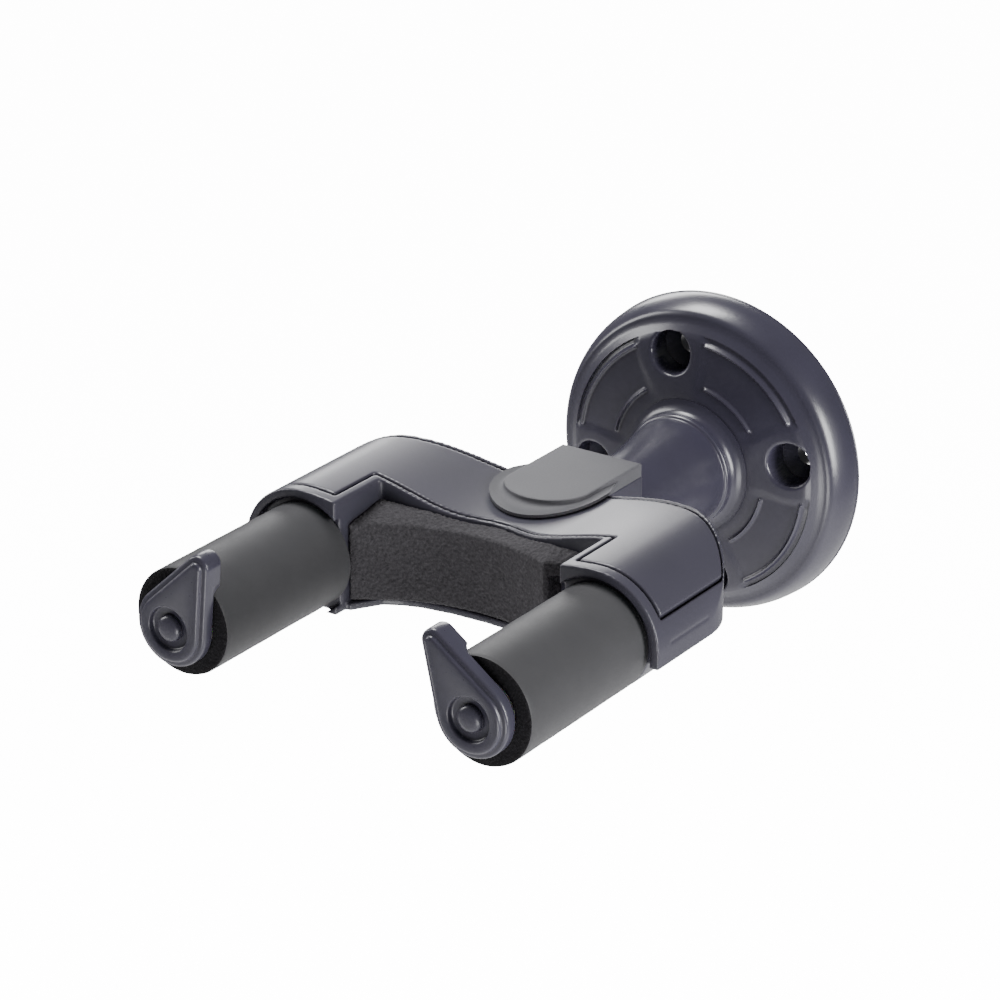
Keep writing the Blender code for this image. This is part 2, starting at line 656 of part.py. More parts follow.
def make_swivel_bolt():
    """Bolt and washer that hold the block on the neck's spigot and let it turn."""
    washer_back = BOLT_POCKET_FLOOR + GAP
    washer_front = washer_back + 1.2 * MM
    washer_radius = BOLT_POCKET_RADIUS - 0.4 * MM
    washer = turned("swivel_washer", [
        (washer_radius, washer_front), (washer_radius, washer_back),
        (BOLT_HOLE_RADIUS, washer_back), (BOLT_HOLE_RADIUS, washer_front)],
        steps=24, ring=True)
    finish(washer, STEEL, head)
    seat = washer_front + GAP
    bolt = turned("swivel_bolt", [
        (0, seat + 3 * MM), (1.6 * MM, seat + 3 * MM), (1.6 * MM, seat + 4.2 * MM),
        (BOLT_HEAD_RADIUS, seat + 4.2 * MM), (BOLT_HEAD_RADIUS, seat),
        (BOLT_RADIUS, seat), (BOLT_RADIUS, BOLT_TIP), (0, BOLT_TIP)], steps=20)
    finish(bolt, STEEL, wall_mount)


make_block()
make_cap()
make_crosshead()
make_swivel_bolt()


# ------------------------------------------------------------------------------- yoke

def cavity_section():
    """Right half of the hollow's cross-section, which follows the cradle's underside."""
    side_x = ARM_X + HOOD_RADIUS - SHELL_WALL
    skirt_top = HOOD_SKIRT + FLOOR_THICKNESS
    radius = ARM_Z - YOKE_FLOOR - FLOOR_THICKNESS
    start = math.degrees(math.asin((skirt_top - ARM_Z) / radius))
    section = [(0, 40 * MM), (side_x, 40 * MM), (side_x, skirt_top)]
    section += arc((ARM_X, ARM_Z), radius, start, -90, 6)
    return section + [(0, YOKE_FLOOR + FLOOR_THICKNESS)]


def make_shell():
    """Lower shell: hoods over both arms, a floor, a rear wall and the tube sockets."""
    across = top_line(0, ARM_X + HOOD_RADIUS)
    skirt_x = ARM_X + HOOD_RADIUS
    cradle_start = math.degrees(math.asin((HOOD_SKIRT - ARM_Z) / CRADLE_RADIUS))
    across += [(skirt_x, HOOD_SKIRT)]
    across += arc((ARM_X, ARM_Z), CRADLE_RADIUS, cradle_start, -90, 6)
    across += [(0, YOKE_FLOOR)]
    shell = prism("lower_shell", mirrored(across), YOKE_REAR - 2 * MM, HOOD_FRONT + 2 * MM)
    outline = prism("shell_outline", plan(yoke_plan(0, 0, 0, -2 * MM, 0)),
                    -30 * MM, 40 * MM, upright=True, group=cutters)
    combine(shell, outline, "INTERSECT")

    lip = [(0, FLOOR_LIP_FRONT), (16 * MM, FLOOR_LIP_FRONT + MM), (24 * MM, 102 * MM),
           (28.2 * MM, 108.5 * MM), (32 * MM, 108.5 * MM), (32 * MM, BROW_FRONT - MM),
           (0, BROW_FRONT - MM)]
    floor_lip = prism("floor_lip", plan(lip), YOKE_FLOOR, YOKE_FLOOR + FLOOR_THICKNESS,
                      upright=True, group=cutters)
    combine(shell, floor_lip, "UNION")

    above = top_line(COVER_THICKNESS + GAP, COVER_HALF_WIDTH - MM)
    above += [(COVER_HALF_WIDTH + GAP, COVER_EDGE), (COVER_HALF_WIDTH + GAP, 30 * MM),
              (0, 30 * MM)]
    recess = prism("cover_recess", mirrored(above), 50 * MM, 120 * MM, group=cutters)
    recess_plan = prism("cover_recess_plan",
                        plan(yoke_plan(0.9 * MM, 1.9 * MM, 2.9 * MM, 0, 0.9 * MM)),
                        -30 * MM, 40 * MM, upright=True, group=cutters)
    combine(recess, recess_plan, "INTERSECT")
    combine(shell, recess)

    hollow = cavity_section()
    cavity = prism("shell_cavity", mirrored(hollow), YOKE_REAR - 5 * MM, CAVITY_FRONT,
                   group=cutters)
    side_x = ARM_X + HOOD_RADIUS - SHELL_WALL
    inside = [(0, 120 * MM), (side_x, 120 * MM)]
    inside += corner(side_x, REAR_WALL, 0)
    inside += [(x, rear_reach(x) + REAR_WALL) for x in rear_spots()]
    cavity_plan = prism("shell_cavity_plan", plan(inside), -30 * MM, 60 * MM,
                        upright=True, group=cutters)
    combine(cavity, cavity_plan, "INTERSECT", solver="MANIFOLD")
    combine(shell, cavity, solver="MANIFOLD")

    for side, sign in SIDES.items():
        x = sign * ARM_X
        socket = turned(f"tube_socket_{side}", [
            (0, HOOD_FRONT + MM), (RECESS_RADIUS, HOOD_FRONT + MM),
            (RECESS_RADIUS, SOCKET_FACE), (TUBE_RADIUS + GAP, SOCKET_FACE),
            (TUBE_RADIUS + GAP, CAVITY_FRONT - 2 * MM), (0, CAVITY_FRONT - 2 * MM)],
            steps=32, x=x, z=ARM_Z, group=cutters)
        combine(shell, socket)
        for number, (post_x, reach) in enumerate(COVER_SCREW_SPOTS):
            top = top_height(post_x) - BOSS_DROP - GAP
            post = cylinder(f"post_{side}_{number}", POST_RADIUS, YOKE_FLOOR + 0.5 * MM, top,
                            sign * post_x, reach, upright=True, sides=16)
            combine(shell, post, "UNION")
            drill = cylinder(f"post_bore_{side}_{number}", COVER_SCREW_HOLE, YOKE_FLOOR - MM,
                             top + MM, sign * post_x, reach, upright=True, sides=12)
            combine(shell, drill)
            head_room = cylinder(f"post_sink_{side}_{number}", 2.7 * MM, YOKE_FLOOR - MM,
                                 YOKE_FLOOR + 1.7 * MM, sign * post_x, reach,
                                 upright=True, sides=16)
            combine(shell, head_room)
        clamp = cylinder(f"clamp_hole_{side}", 1.8 * MM, YOKE_FLOOR - MM,
                         ARM_Z - TUBE_RADIUS + MM, x, CLAMP_REACH, upright=True, sides=12)
        combine(shell, clamp)
    notch = box("shell_notch", (-NOTCH_HALF_WIDTH, NOTCH_HALF_WIDTH),
                (YOKE_REAR - 5 * MM, NOTCH_FRONT), (-30 * MM, 40 * MM))
    combine(shell, notch)
    return finish(shell, MOULDED_PLASTIC, yoke)


def make_cover():
    """Top cover let into the shell, notched at the back for the sliding block."""
    outer = top_line(0, COVER_HALF_WIDTH)
    inner = top_line(COVER_THICKNESS, COVER_HALF_WIDTH - 1.2 * MM)
    band = outer + list(reversed(inner))
    cover = prism("top_cover", mirrored(band), 50 * MM, 120 * MM)
    outline = prism("cover_outline",
                    plan(yoke_plan(1.2 * MM, 2.2 * MM, 3.2 * MM, 0, 1.2 * MM)),
                    -30 * MM, 40 * MM, upright=True, group=cutters)
    combine(cover, outline, "INTERSECT")
    for side, sign in SIDES.items():
        for number, (x, reach) in enumerate(COVER_SCREW_SPOTS):
            bottom = top_height(x) - BOSS_DROP
            boss = cylinder(f"cover_boss_{side}_{number}", POST_RADIUS, bottom,
                            top_height(x) - 1.2 * MM, sign * x, reach, upright=True, sides=16)
            combine(cover, boss, "UNION")
            thread = cylinder(f"cover_thread_{side}_{number}", COVER_SCREW_HOLE, bottom - MM,
                              bottom + 3.2 * MM, sign * x, reach, upright=True, sides=12)
            combine(cover, thread)
    nose = [(NOTCH_HALF_WIDTH, YOKE_REAR - 5 * MM), (NOTCH_HALF_WIDTH, NOSE_START)]
    nose += arc((0, NOSE_START), NOTCH_HALF_WIDTH, 10, 90, 8)
    notch = prism("cover_notch", plan(nose), -30 * MM, 40 * MM, upright=True, group=cutters)
    combine(cover, notch, solver="MANIFOLD")
    return finish(cover, MOULDED_PLASTIC, yoke)


def make_cover_screws():
    number = 0
    for sign in SIDES.values():
        for x, reach in COVER_SCREW_SPOTS:
            number += 1
            tip = top_height(x) - BOSS_DROP + 2.8 * MM
            screw = cylinder(f"cover_screw_{number}", 1.2 * MM, YOKE_FLOOR + MM, tip,
                             sign * x, reach, upright=True, sides=12, group=parts)
            head_disc = cylinder(f"cover_screw_head_{number}", 2.4 * MM,
                                 YOKE_FLOOR + 0.1 * MM, YOKE_FLOOR + 1.4 * MM,
                                 sign * x, reach, upright=True, sides=16)
            combine(screw, head_disc, "UNION")
            finish(screw, STEEL, yoke)


def make_pad():
    """Foam pad between the arms, hollowed to the shape of a guitar's neck."""
    def face(x):
        return PAD_FACE_MIDDLE + PAD_FACE_RADIUS - math.sqrt(PAD_FACE_RADIUS ** 2 - x * x)

    spots = [PAD_HALF_WIDTH * i / 7 for i in range(8)]
    outline = [(x, face(x)) for x in spots]
    outline += [(x, brow_reach(x) + GAP) for x in reversed(spots)]
    pad = prism("neck_pad", plan(outline), PAD_BOTTOM, PAD_TOP, upright=True)
    return finish(pad, PAD_FOAM, yoke)


make_shell()
make_cover()
make_cover_screws()
make_pad()


# ------------------------------------------------------------------------------- arms

def make_arm(side, sign):
    """Steel tube clamped in the yoke, a bush at each end and the foam sleeve."""
    x = sign * ARM_X
    tube = turned(f"arm_tube_{side}", [
        (TUBE_RADIUS, TUBE_FRONT), (TUBE_RADIUS, TUBE_REAR), (TUBE_BORE, TUBE_REAR),
        (TUBE_BORE, TUBE_FRONT)], steps=24, ring=True, x=x, z=ARM_Z)
    finish(tube, STEEL, yoke)
    sleeve = turned(f"arm_sleeve_{side}", [
        (SLEEVE_RADIUS - 0.8 * MM, SLEEVE_FRONT), (SLEEVE_RADIUS, SLEEVE_FRONT - 0.8 * MM),
        (SLEEVE_RADIUS, SLEEVE_REAR), (SLEEVE_BORE, SLEEVE_REAR),
        (SLEEVE_BORE, SLEEVE_FRONT)], steps=32, ring=True, x=x, z=ARM_Z)
    finish(sleeve, SLEEVE_FOAM, yoke)
    flange_back = TUBE_FRONT + GAP
    front_bush = turned(f"front_bush_{side}", [
        (BUSH_FLANGE_RADIUS, flange_back + BUSH_FLANGE), (BUSH_FLANGE_RADIUS, flange_back),
        (BUSH_RADIUS, flange_back), (BUSH_RADIUS, flange_back - BUSH_LENGTH),
        (BUSH_BORE, flange_back - BUSH_LENGTH), (BUSH_BORE, flange_back + BUSH_FLANGE)],
        steps=20, ring=True, x=x, z=ARM_Z)
    finish(front_bush, NYLON, yoke)
    flange_front = TUBE_REAR - GAP
    rear_bush = turned(f"rear_bush_{side}", [
        (BUSH_RADIUS, flange_front + BUSH_LENGTH), (BUSH_RADIUS, flange_front),
        (BUSH_FLANGE_RADIUS, flange_front), (BUSH_FLANGE_RADIUS, flange_front - BUSH_FLANGE),
        (BUSH_BORE, flange_front - BUSH_FLANGE), (BUSH_BORE, flange_front + BUSH_LENGTH)],
        steps=20, ring=True, x=x, z=ARM_Z)
    finish(rear_bush, NYLON, yoke)
    clamp = cylinder(f"tube_screw_{side}", 1.5 * MM, YOKE_FLOOR + 0.6 * MM,
                     ARM_Z - TUBE_RADIUS - GAP, x, CLAMP_REACH, upright=True, sides=12,
                     group=parts)
    finish(clamp, STEEL, yoke)


for arm_side, arm_sign in SIDES.items():
    make_arm(arm_side, arm_sign)


# ------------------------------------------------------------------------------ gates

def gate_outline(start):
    """Teardrop about the rod, tip up; only the part above start if that is not None."""
    sine, cosine = math.sin(GATE_TAPER), math.cos(GATE_TAPER)
    tip_half = (GATE_HUB_RADIUS - GATE_TIP * sine) / cosine
    tip = [(tip_half, GATE_TIP - 1.2 * MM), (tip_half - 1.1 * MM, GATE_TIP)]
    if start is None:
        taper = math.degrees(GATE_TAPER)
        hub = arc((0, 0), GATE_HUB_RADIUS, -90, taper, 9)
        return mirrored(hub + tip)
    foot_half = (GATE_HUB_RADIUS - start * sine) / cosine
    return mirrored([(foot_half, start)] + tip)


def make_gate(side, sign):
    """Gate lever with its rod, hub screw and crank, all turning as one."""
    x = sign * ARM_X
    body = gate_bodies[side]
    lean = Matrix.Translation((x, 0, ARM_Z)) @ Matrix.Rotation(-sign * GATE_LEAN[side], 4, "Y")
    gate = prism(f"gate_{side}", gate_outline(None), GATE_BACK, GATE_FRONT, place=lean)
    lip = prism(f"gate_lip_{side}", gate_outline(GATE_LIP_START), GATE_LIP_BACK,
                GATE_BACK + MM, place=lean, group=cutters)
    combine(gate, lip, "UNION")
    recess = turned(f"gate_recess_{side}", [
        (0, GATE_FRONT + MM), (GATE_RECESS_RADIUS, GATE_FRONT + MM),
        (GATE_RECESS_RADIUS, GATE_FRONT - GATE_RECESS_DEPTH),
        (ROD_RADIUS + GAP, GATE_FRONT - GATE_RECESS_DEPTH),
        (ROD_RADIUS + GAP, GATE_BACK - MM), (0, GATE_BACK - MM)],
        steps=24, x=x, z=ARM_Z, group=cutters)
    combine(gate, recess)
    finish(gate, GATE_PLASTIC, body)

    rod = cylinder(f"gate_rod_{side}", ROD_RADIUS, ROD_REAR, ROD_FRONT, x, ARM_Z,
                   sides=20, group=parts)
    combine(rod, cylinder(f"rod_thread_{side}", 1.5 * MM, ROD_FRONT - 8 * MM,
                          ROD_FRONT + MM, x, ARM_Z, sides=12))
    finish(rod, STEEL, body)

    seat = GATE_FRONT - GATE_RECESS_DEPTH + GAP
    screw = turned(f"hub_screw_{side}", [
        (0, seat + 1.5 * MM), (2.3 * MM, seat + 1.5 * MM), (3.0 * MM, seat + 0.9 * MM),
        (3.0 * MM, seat), (1.2 * MM, seat), (1.2 * MM, ROD_FRONT - 7 * MM),
        (0, ROD_FRONT - 7 * MM)], steps=20, x=x, z=ARM_Z)
    finish(screw, GATE_PLASTIC, body)

    crank_angle = CRANK_START + GATE_LEAN[side] - MEAN_LEAN
    swing = Matrix.Translation((x, 0, ARM_Z)) @ Matrix.Rotation(-sign * crank_angle, 4, "Y")
    arm_points = [(0, -CRANK_ARM_HALF_WIDTH), (sign * CRANK_RADIUS, -CRANK_ARM_HALF_WIDTH),
                  (sign * (CRANK_RADIUS + 1.8 * MM), -CRANK_ARM_HALF_WIDTH / 2),
                  (sign * (CRANK_RADIUS + 1.8 * MM), CRANK_ARM_HALF_WIDTH / 2),
                  (sign * CRANK_RADIUS, CRANK_ARM_HALF_WIDTH), (0, CRANK_ARM_HALF_WIDTH)]
    crank = prism(f"crank_{side}", arm_points, CRANK_REAR, CRANK_FRONT, place=swing)
    combine(crank, cylinder(f"crank_hub_{side}", CRANK_HUB_RADIUS, CRANK_REAR, CRANK_FRONT,
                            x, ARM_Z), "UNION")
    pin_x = x + sign * CRANK_RADIUS * math.cos(crank_angle)
    pin_z = ARM_Z + CRANK_RADIUS * math.sin(crank_angle)
    combine(crank, cylinder(f"crank_pin_{side}", CRANK_PIN_RADIUS, CRANK_PIN_END,
                            CRANK_REAR + MM, pin_x, pin_z, sides=16), "UNION")
    combine(crank, cylinder(f"crank_bore_{side}", ROD_RADIUS + GAP, CRANK_REAR - MM,
                            CRANK_FRONT + MM, x, ARM_Z, sides=20))
    finish(crank, STEEL, body)


for gate_side, gate_sign in SIDES.items():
    make_gate(gate_side, gate_sign)


# -------------------------------------------------------------------- return springs

def make_spring(side, sign):
    """Compression spring that stands on a wing of the block and lifts the cover."""
    bottom = WING_TOP + GAP + SPRING_WIRE
    top = SPRING_TOP - SPRING_WIRE
    count = SPRING_TURNS * 8
    curve = bpy.data.curves.new(f"return_spring_{side}", "CURVE")
    curve.dimensions = "3D"
    curve.bevel_depth = SPRING_WIRE
    curve.bevel_resolution = 1
    curve.use_fill_caps = True
    spline = curve.splines.new("POLY")
    spline.points.add(count)
    for i, point in enumerate(spline.points):
        angle = math.tau * SPRING_TURNS * i / count
        rise = i / count
        # The end turns lie closer together than the middle ones
        eased = rise - 0.06 * math.sin(math.tau * rise)
        point.co = (SPRING_RADIUS * math.cos(angle), SPRING_RADIUS * math.sin(angle),
                    bottom + (top - bottom) * eased, 1)
    place = Matrix.Translation((sign * SPRING_X, -SPRING_REACH, 0))
    spring = curve_to_mesh(add(f"return_spring_{side}", curve, parts, place))
    return finish(spring, STEEL, head)


for spring_side, spring_sign in SIDES.items():
    make_spring(spring_side, spring_sign)
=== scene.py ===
import json
import math

import bmesh
import bpy
from mathutils import Matrix, Vector, noise


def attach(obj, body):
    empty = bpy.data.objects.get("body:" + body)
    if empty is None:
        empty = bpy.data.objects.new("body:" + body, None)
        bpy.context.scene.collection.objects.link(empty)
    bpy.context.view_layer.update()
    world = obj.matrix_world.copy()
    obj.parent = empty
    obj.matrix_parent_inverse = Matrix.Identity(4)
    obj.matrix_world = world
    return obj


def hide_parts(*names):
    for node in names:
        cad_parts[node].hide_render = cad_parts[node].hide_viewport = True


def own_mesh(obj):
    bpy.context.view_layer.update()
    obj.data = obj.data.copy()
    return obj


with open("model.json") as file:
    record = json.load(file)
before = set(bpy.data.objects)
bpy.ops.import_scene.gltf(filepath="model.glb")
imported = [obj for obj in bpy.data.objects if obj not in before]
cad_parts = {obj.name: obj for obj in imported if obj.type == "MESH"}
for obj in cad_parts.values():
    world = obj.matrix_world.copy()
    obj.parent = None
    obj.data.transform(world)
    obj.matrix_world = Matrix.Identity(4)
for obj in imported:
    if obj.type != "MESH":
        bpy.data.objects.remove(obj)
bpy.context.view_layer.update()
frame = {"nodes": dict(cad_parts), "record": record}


# ------------------------------------------------------------------------- wall plate
# The round foot that screws to the wall: a zinc die casting with a hollow back, powder
# coated dark grey. Four panels are sunk in its face between the screw bosses, each
# crossed by two thin raised arcs. All the sizes below are in millimetres.

MM = 0.001
PLATE_STEPS = 480
HOLE_PITCH = 27.4
HOLE_START = math.radians(12)
HOLE_MOUTH = 5.3
HOLE_LIP = 0.7
SCREW_BOSS = 7.4
PANEL_INNER = 16.5
PANEL_OUTER = 32.8
PANEL_DEPTH = 0.3
CHANNEL_DEPTH = 0.35
PANEL_HALF_TURN = math.radians(30)
ARC_RIBS = ((30.5, math.radians(27)), (20.4, math.radians(22)))
RIB_HEIGHT = 0.75
RIB_WIDTH = 0.34
RIB_END_BLEND = 0.6
PANEL_SIDE_BLEND = 3.0
PANEL_BOSS_BLEND = 2.5
PANEL_INNER_BLEND = 4.0
PANEL_OUTER_BLEND = 0.8
CHANNEL_START = 30.8
CHANNEL_BLEND = 0.5
BOSS_RADIUS = 7.6
POCKET_RADIUS = 34.0
POCKET_FLOOR = 7.5
HUB_RADIUS = 11.5
HOLE_BORE = 2.7
CONE_TOP = 5.5
CONE_FOOT = 2.9
SOCKET_RADIUS = 9.3
SOCKET_FLOOR = 4.2
NECK_SCREW_PITCH = 6.3
NECK_SCREW_SHANK = 1.6
NECK_SCREW_HEAD = 2.7
NECK_SCREW_SEAT = 2.2
FACE_KNOTS = ((0.0, 13.0), (14.0, 13.0), (18.0, 13.0), (24.0, 12.62), (28.0, 12.22), (31.0, 11.75),
              (32.4, 11.2))
RIM_KNOTS = ((32.4, 11.2), (33.3, 10.55), (34.2, 9.95), (35.1, 9.6), (36.0, 9.35), (36.8, 8.75),
             (37.5, 7.7), (38.1, 6.35), (38.6, 4.8), (38.9, 3.2), (39.0, 1.8), (38.9, 0.6),
             (38.4, 0.0), (30.0, 0.0), (0.0, 0.0))


def linear(colour):
    """sRGB hex to linear red, green, blue and alpha."""
    channels = [int(colour[i:i + 2], 16) / 255 for i in (0, 2, 4)]
    return (*(c / 12.92 if c <= 0.04045 else ((c + 0.055) / 1.055) ** 2.4 for c in channels), 1)


def add_node(tree, kind, inputs=None, **settings):
    """Add a node with its settings; an input is a value or the socket to link from."""
    node = tree.nodes.new("ShaderNode" + kind)
    for name, value in settings.items():
        setattr(node, name, value)
    for key, value in (inputs or {}).items():
        if isinstance(value, bpy.types.NodeSocket):
            tree.links.new(value, node.inputs[key])
        else:
            node.inputs[key].default_value = value
    return node


def start_material(name, **sockets):
    """A Principled material; gives its shader, its tree and the object's coordinates."""
    made = bpy.data.materials.new(name)
    made.use_nodes = True
    shader = made.node_tree.nodes["Principled BSDF"]
    for key, value in sockets.items():
        shader.inputs[key.replace("_", " ")].default_value = value
    place = add_node(made.node_tree, "TexCoord").outputs["Object"]
    return made, shader, made.node_tree, place


def finish_with(tree, shader, tone, bump=None, gloss=None):
    """Link a material's colour, relief and gloss to its shader."""
    tree.links.new(tone.outputs[2], shader.inputs["Base Color"])
    if gloss:
        tree.links.new(gloss.outputs[0], shader.inputs["Roughness"])
    if bump:
        tree.links.new(bump.outputs["Normal"], shader.inputs["Normal"])


def grain(size):
    """Scale of a pattern whose marks are this many millimetres wide."""
    return 1 / (size * MM)


def ease(value):
    """Smooth step from 0 to 1."""
    value = min(max(value, 0), 1)
    return value * value * (3 - 2 * value)


def curve(knots, per=4):
    """Smooth line through knots."""
    line = []
    for i in range(len(knots) - 1):
        spots = [Vector(knots[min(max(k, 0), len(knots) - 1)]) for k in range(i - 1, i + 3)]
        for step in range(per):
            t = step / per
            a, b, c, d = spots
            line.append(tuple(0.5 * ((2 * b) + (c - a) * t + (2 * a - 5 * b + 4 * c - d) * t ** 2
                                     + (3 * b - a - 3 * c + d) * t ** 3)))
    return line + [tuple(knots[-1])]


def build(name, points, faces):
    """Welded closed mesh from points in millimetres."""
    mesh = bpy.data.meshes.new(name)
    mesh.from_pydata([(x * MM, y * MM, z * MM) for x, y, z in points], [], faces)
    bm = bmesh.new()
    bm.from_mesh(mesh)
    bmesh.ops.remove_doubles(bm, verts=bm.verts, dist=0.002 * MM)
    bmesh.ops.recalc_face_normals(bm, faces=bm.faces)
    bm.to_mesh(mesh)
    bm.free()
    made = bpy.data.objects.new(name, mesh)
    bpy.context.scene.collection.objects.link(made)
    return made


def loft(name, rings, hollow=False):
    """Skin a row of equal rings; a hollow one also joins its last ring to its first."""
    count = len(rings[0])
    faces = []
    for row in range(len(rings) if hollow else len(rings) - 1):
        a, b = row * count, (row + 1) % len(rings) * count
        faces += [(a + i, a + (i + 1) % count, b + (i + 1) % count, b + i) for i in range(count)]
    if not hollow:
        last = (len(rings) - 1) * count
        faces += [tuple(range(count)), tuple(range(last, last + count))]
    return build(name, [point for ring in rings for point in ring], faces)


def turned(name, profile, x=0.0, z=0.0, steps=96, hollow=False):
    """Turn (radius, reach) points about an axis that points away from the wall."""
    turns = [math.tau * i / steps for i in range(steps)]
    return loft(name, [[(x + radius * math.cos(t), -reach, z + radius * math.sin(t))
                        for t in turns] for radius, reach in profile], hollow)


def bake(piece):
    """Replace a piece's mesh by what its modifiers make of it."""
    graph = bpy.context.evaluated_depsgraph_get()
    mesh = bpy.data.meshes.new_from_object(piece.evaluated_get(graph))
    piece.modifiers.clear()
    piece.data = mesh
    return piece


def combine(piece, tools, operation="DIFFERENCE"):
    """Cut or join a piece with tools, which are used up."""
    for tool in tools:
        step = piece.modifiers.new("shape", "BOOLEAN")
        step.operation = operation
        step.solver = "MANIFOLD"
        step.object = tool
    bake(piece)
    for tool in tools:
        bpy.data.objects.remove(tool, do_unlink=True)
    return piece


def dress(piece, material, body, nodes, sharp=40):
    """Give a piece its finish and its body, and hide the solids that it stands for."""
    piece.data.materials.clear()
    piece.data.materials.append(material)
    piece.data.shade_smooth()
    piece.data.set_sharp_from_angle(angle=math.radians(sharp))
    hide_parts(*nodes)
    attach(piece, body)
    return piece


FACE_LINE = curve(FACE_KNOTS, 8)


def hole_spot(number):
    angle = HOLE_START + number * math.tau / 4
    return HOLE_PITCH * math.cos(angle), HOLE_PITCH * math.sin(angle)


def neck_screw_spot(number):
    angle = math.radians(90) + number * math.tau / 3
    return NECK_SCREW_PITCH * math.cos(angle), NECK_SCREW_PITCH * math.sin(angle)


def plate_reach(radius, angle):
    """Reach of the plate's face, with its sunk panels, arc ribs and eased holes."""
    x, z = radius * math.cos(angle), radius * math.sin(angle)
    away = min(math.hypot(x - hx, z - hz) for hx, hz in map(hole_spot, range(4)))
    turn = abs((angle - HOLE_START) % (math.tau / 4) - math.tau / 8)
    along = (PANEL_HALF_TURN - turn) * radius
    ends = ease(along / PANEL_SIDE_BLEND) * ease((away - SCREW_BOSS) / PANEL_BOSS_BLEND)
    panel = (ends * ease((radius - PANEL_INNER) / PANEL_INNER_BLEND)
             * ease((PANEL_OUTER - radius) / PANEL_OUTER_BLEND))
    channel = CHANNEL_DEPTH * panel * ease((radius - CHANNEL_START) / CHANNEL_BLEND)
    depth = PANEL_DEPTH * panel + channel
    rib = 0
    for rib_radius, half_turn in ARC_RIBS:
        fade = ease((half_turn - turn) * radius / RIB_END_BLEND)
        rib += fade * math.exp(-((radius - rib_radius) / RIB_WIDTH) ** 2)
    face = next(h0 + (h1 - h0) * (radius - r0) / (r1 - r0)
                for (r0, h0), (r1, h1) in zip(FACE_LINE, FACE_LINE[1:]) if radius <= r1 + 0.01)
    lip = min(max((HOLE_MOUTH + HOLE_LIP - away) / HOLE_LIP, 0), 1)
    return face - depth + RIB_HEIGHT * rib - HOLE_LIP * (1 - math.sqrt(1 - lip * lip))


def make_plate():
    radii = [0.0, 6.0, 12.0, 15.0, 16.5]
    radii += [17 + 0.25 * i for i in range(11)] + [19.75 + 0.15 * i for i in range(18)]
    radii += [22.5 + 0.4 * i for i in range(17)] + [29.3 + 0.15 * i for i in range(20)]
    turns = [math.tau * i / PLATE_STEPS for i in range(PLATE_STEPS)]
    rings = [[(radius * math.cos(t), -plate_reach(radius, t), radius * math.sin(t)) for t in turns]
             for radius in radii]
    rings += [[(radius * math.cos(t), -reach, radius * math.sin(t)) for t in turns]
              for radius, reach in curve(RIM_KNOTS)]
    plate = loft("plate_casting", rings)
    pocket = turned("pocket", [(POCKET_RADIUS, POCKET_FLOOR), (POCKET_RADIUS, -1),
                               (HUB_RADIUS, -1), (HUB_RADIUS, POCKET_FLOOR)], hollow=True)
    boss = [(0, 12), (BOSS_RADIUS, 12), (BOSS_RADIUS, -2), (0, -2)]
    tools = [combine(pocket, [turned(f"boss_{n}", boss, *hole_spot(n), steps=48)
                              for n in range(4)])]
    hole = [(0, 18), (HOLE_MOUTH, 18), (HOLE_MOUTH, CONE_TOP), (HOLE_BORE, CONE_FOOT),
            (HOLE_BORE, -1), (0, -1)]
    tools += [turned(f"hole_{n}", hole, *hole_spot(n), steps=64) for n in range(4)]
    tools += [turned("neck_socket", [(0, 15), (SOCKET_RADIUS, 15), (SOCKET_RADIUS, SOCKET_FLOOR),
                                     (0, SOCKET_FLOOR)])]
    seat = [(0, 6), (NECK_SCREW_SHANK, 6), (NECK_SCREW_SHANK, NECK_SCREW_SEAT),
            (NECK_SCREW_HEAD, NECK_SCREW_SEAT), (NECK_SCREW_HEAD, -1), (0, -1)]
    tools += [turned(f"screw_seat_{n}", seat, *neck_screw_spot(n), steps=24) for n in range(3)]
    return combine(plate, tools)


# Powder-coated casting: the baked coat is satin, with a faint orange peel about 1.2 mm
# across that softens its highlights, and a slightly uneven tone.
POWDER_COAT, shader, tree, place = start_material(
    "powder_coated_casting", Roughness=0.3, IOR=1.5, Coat_Weight=0.3, Coat_Roughness=0.22)
cloud = add_node(tree, "TexNoise", {"Vector": place, "Scale": grain(14), "Detail": 3.0})
tone = add_node(tree, "Mix", {0: cloud.outputs["Fac"], 6: linear("2e2c38"), 7: linear("373543")},
                data_type="RGBA")
peel = add_node(tree, "TexNoise", {"Vector": place, "Scale": grain(1.2), "Detail": 2.0})
bump = add_node(tree, "Bump", {"Height": peel.outputs["Fac"], "Strength": 0.5,
                               "Distance": 0.03 * MM})
gloss = add_node(tree, "MapRange", {0: cloud.outputs["Fac"], 3: 0.27, 4: 0.34})
finish_with(tree, shader, tone, bump, gloss)

dress(make_plate(), POWDER_COAT, "wall_mount", ["wall_plate"])


# ------------------------------------------------------------------------------- neck
# The turned neck stands in a socket in the plate, held from behind by three screws. It
# has a moulded ring at its foot and narrows to a plain shaft; the spigot at its front end
# goes into the sliding block. Same casting and coat as the plate.

NECK_KNOTS = ((10.3, 48.6), (10.3, 44.0), (10.5, 38.0), (11.05, 32.0), (11.9, 26.5), (12.6, 22.5),
              (12.95, 19.8), (13.1, 18.2), (13.3, 17.8), (13.6, 17.6), (13.85, 17.2), (13.8, 16.7),
              (13.45, 16.3), (13.3, 15.7), (13.45, 15.0), (14.0, 14.2), (15.0, 13.6), (16.0, 13.35),
              (16.4, 13.3))


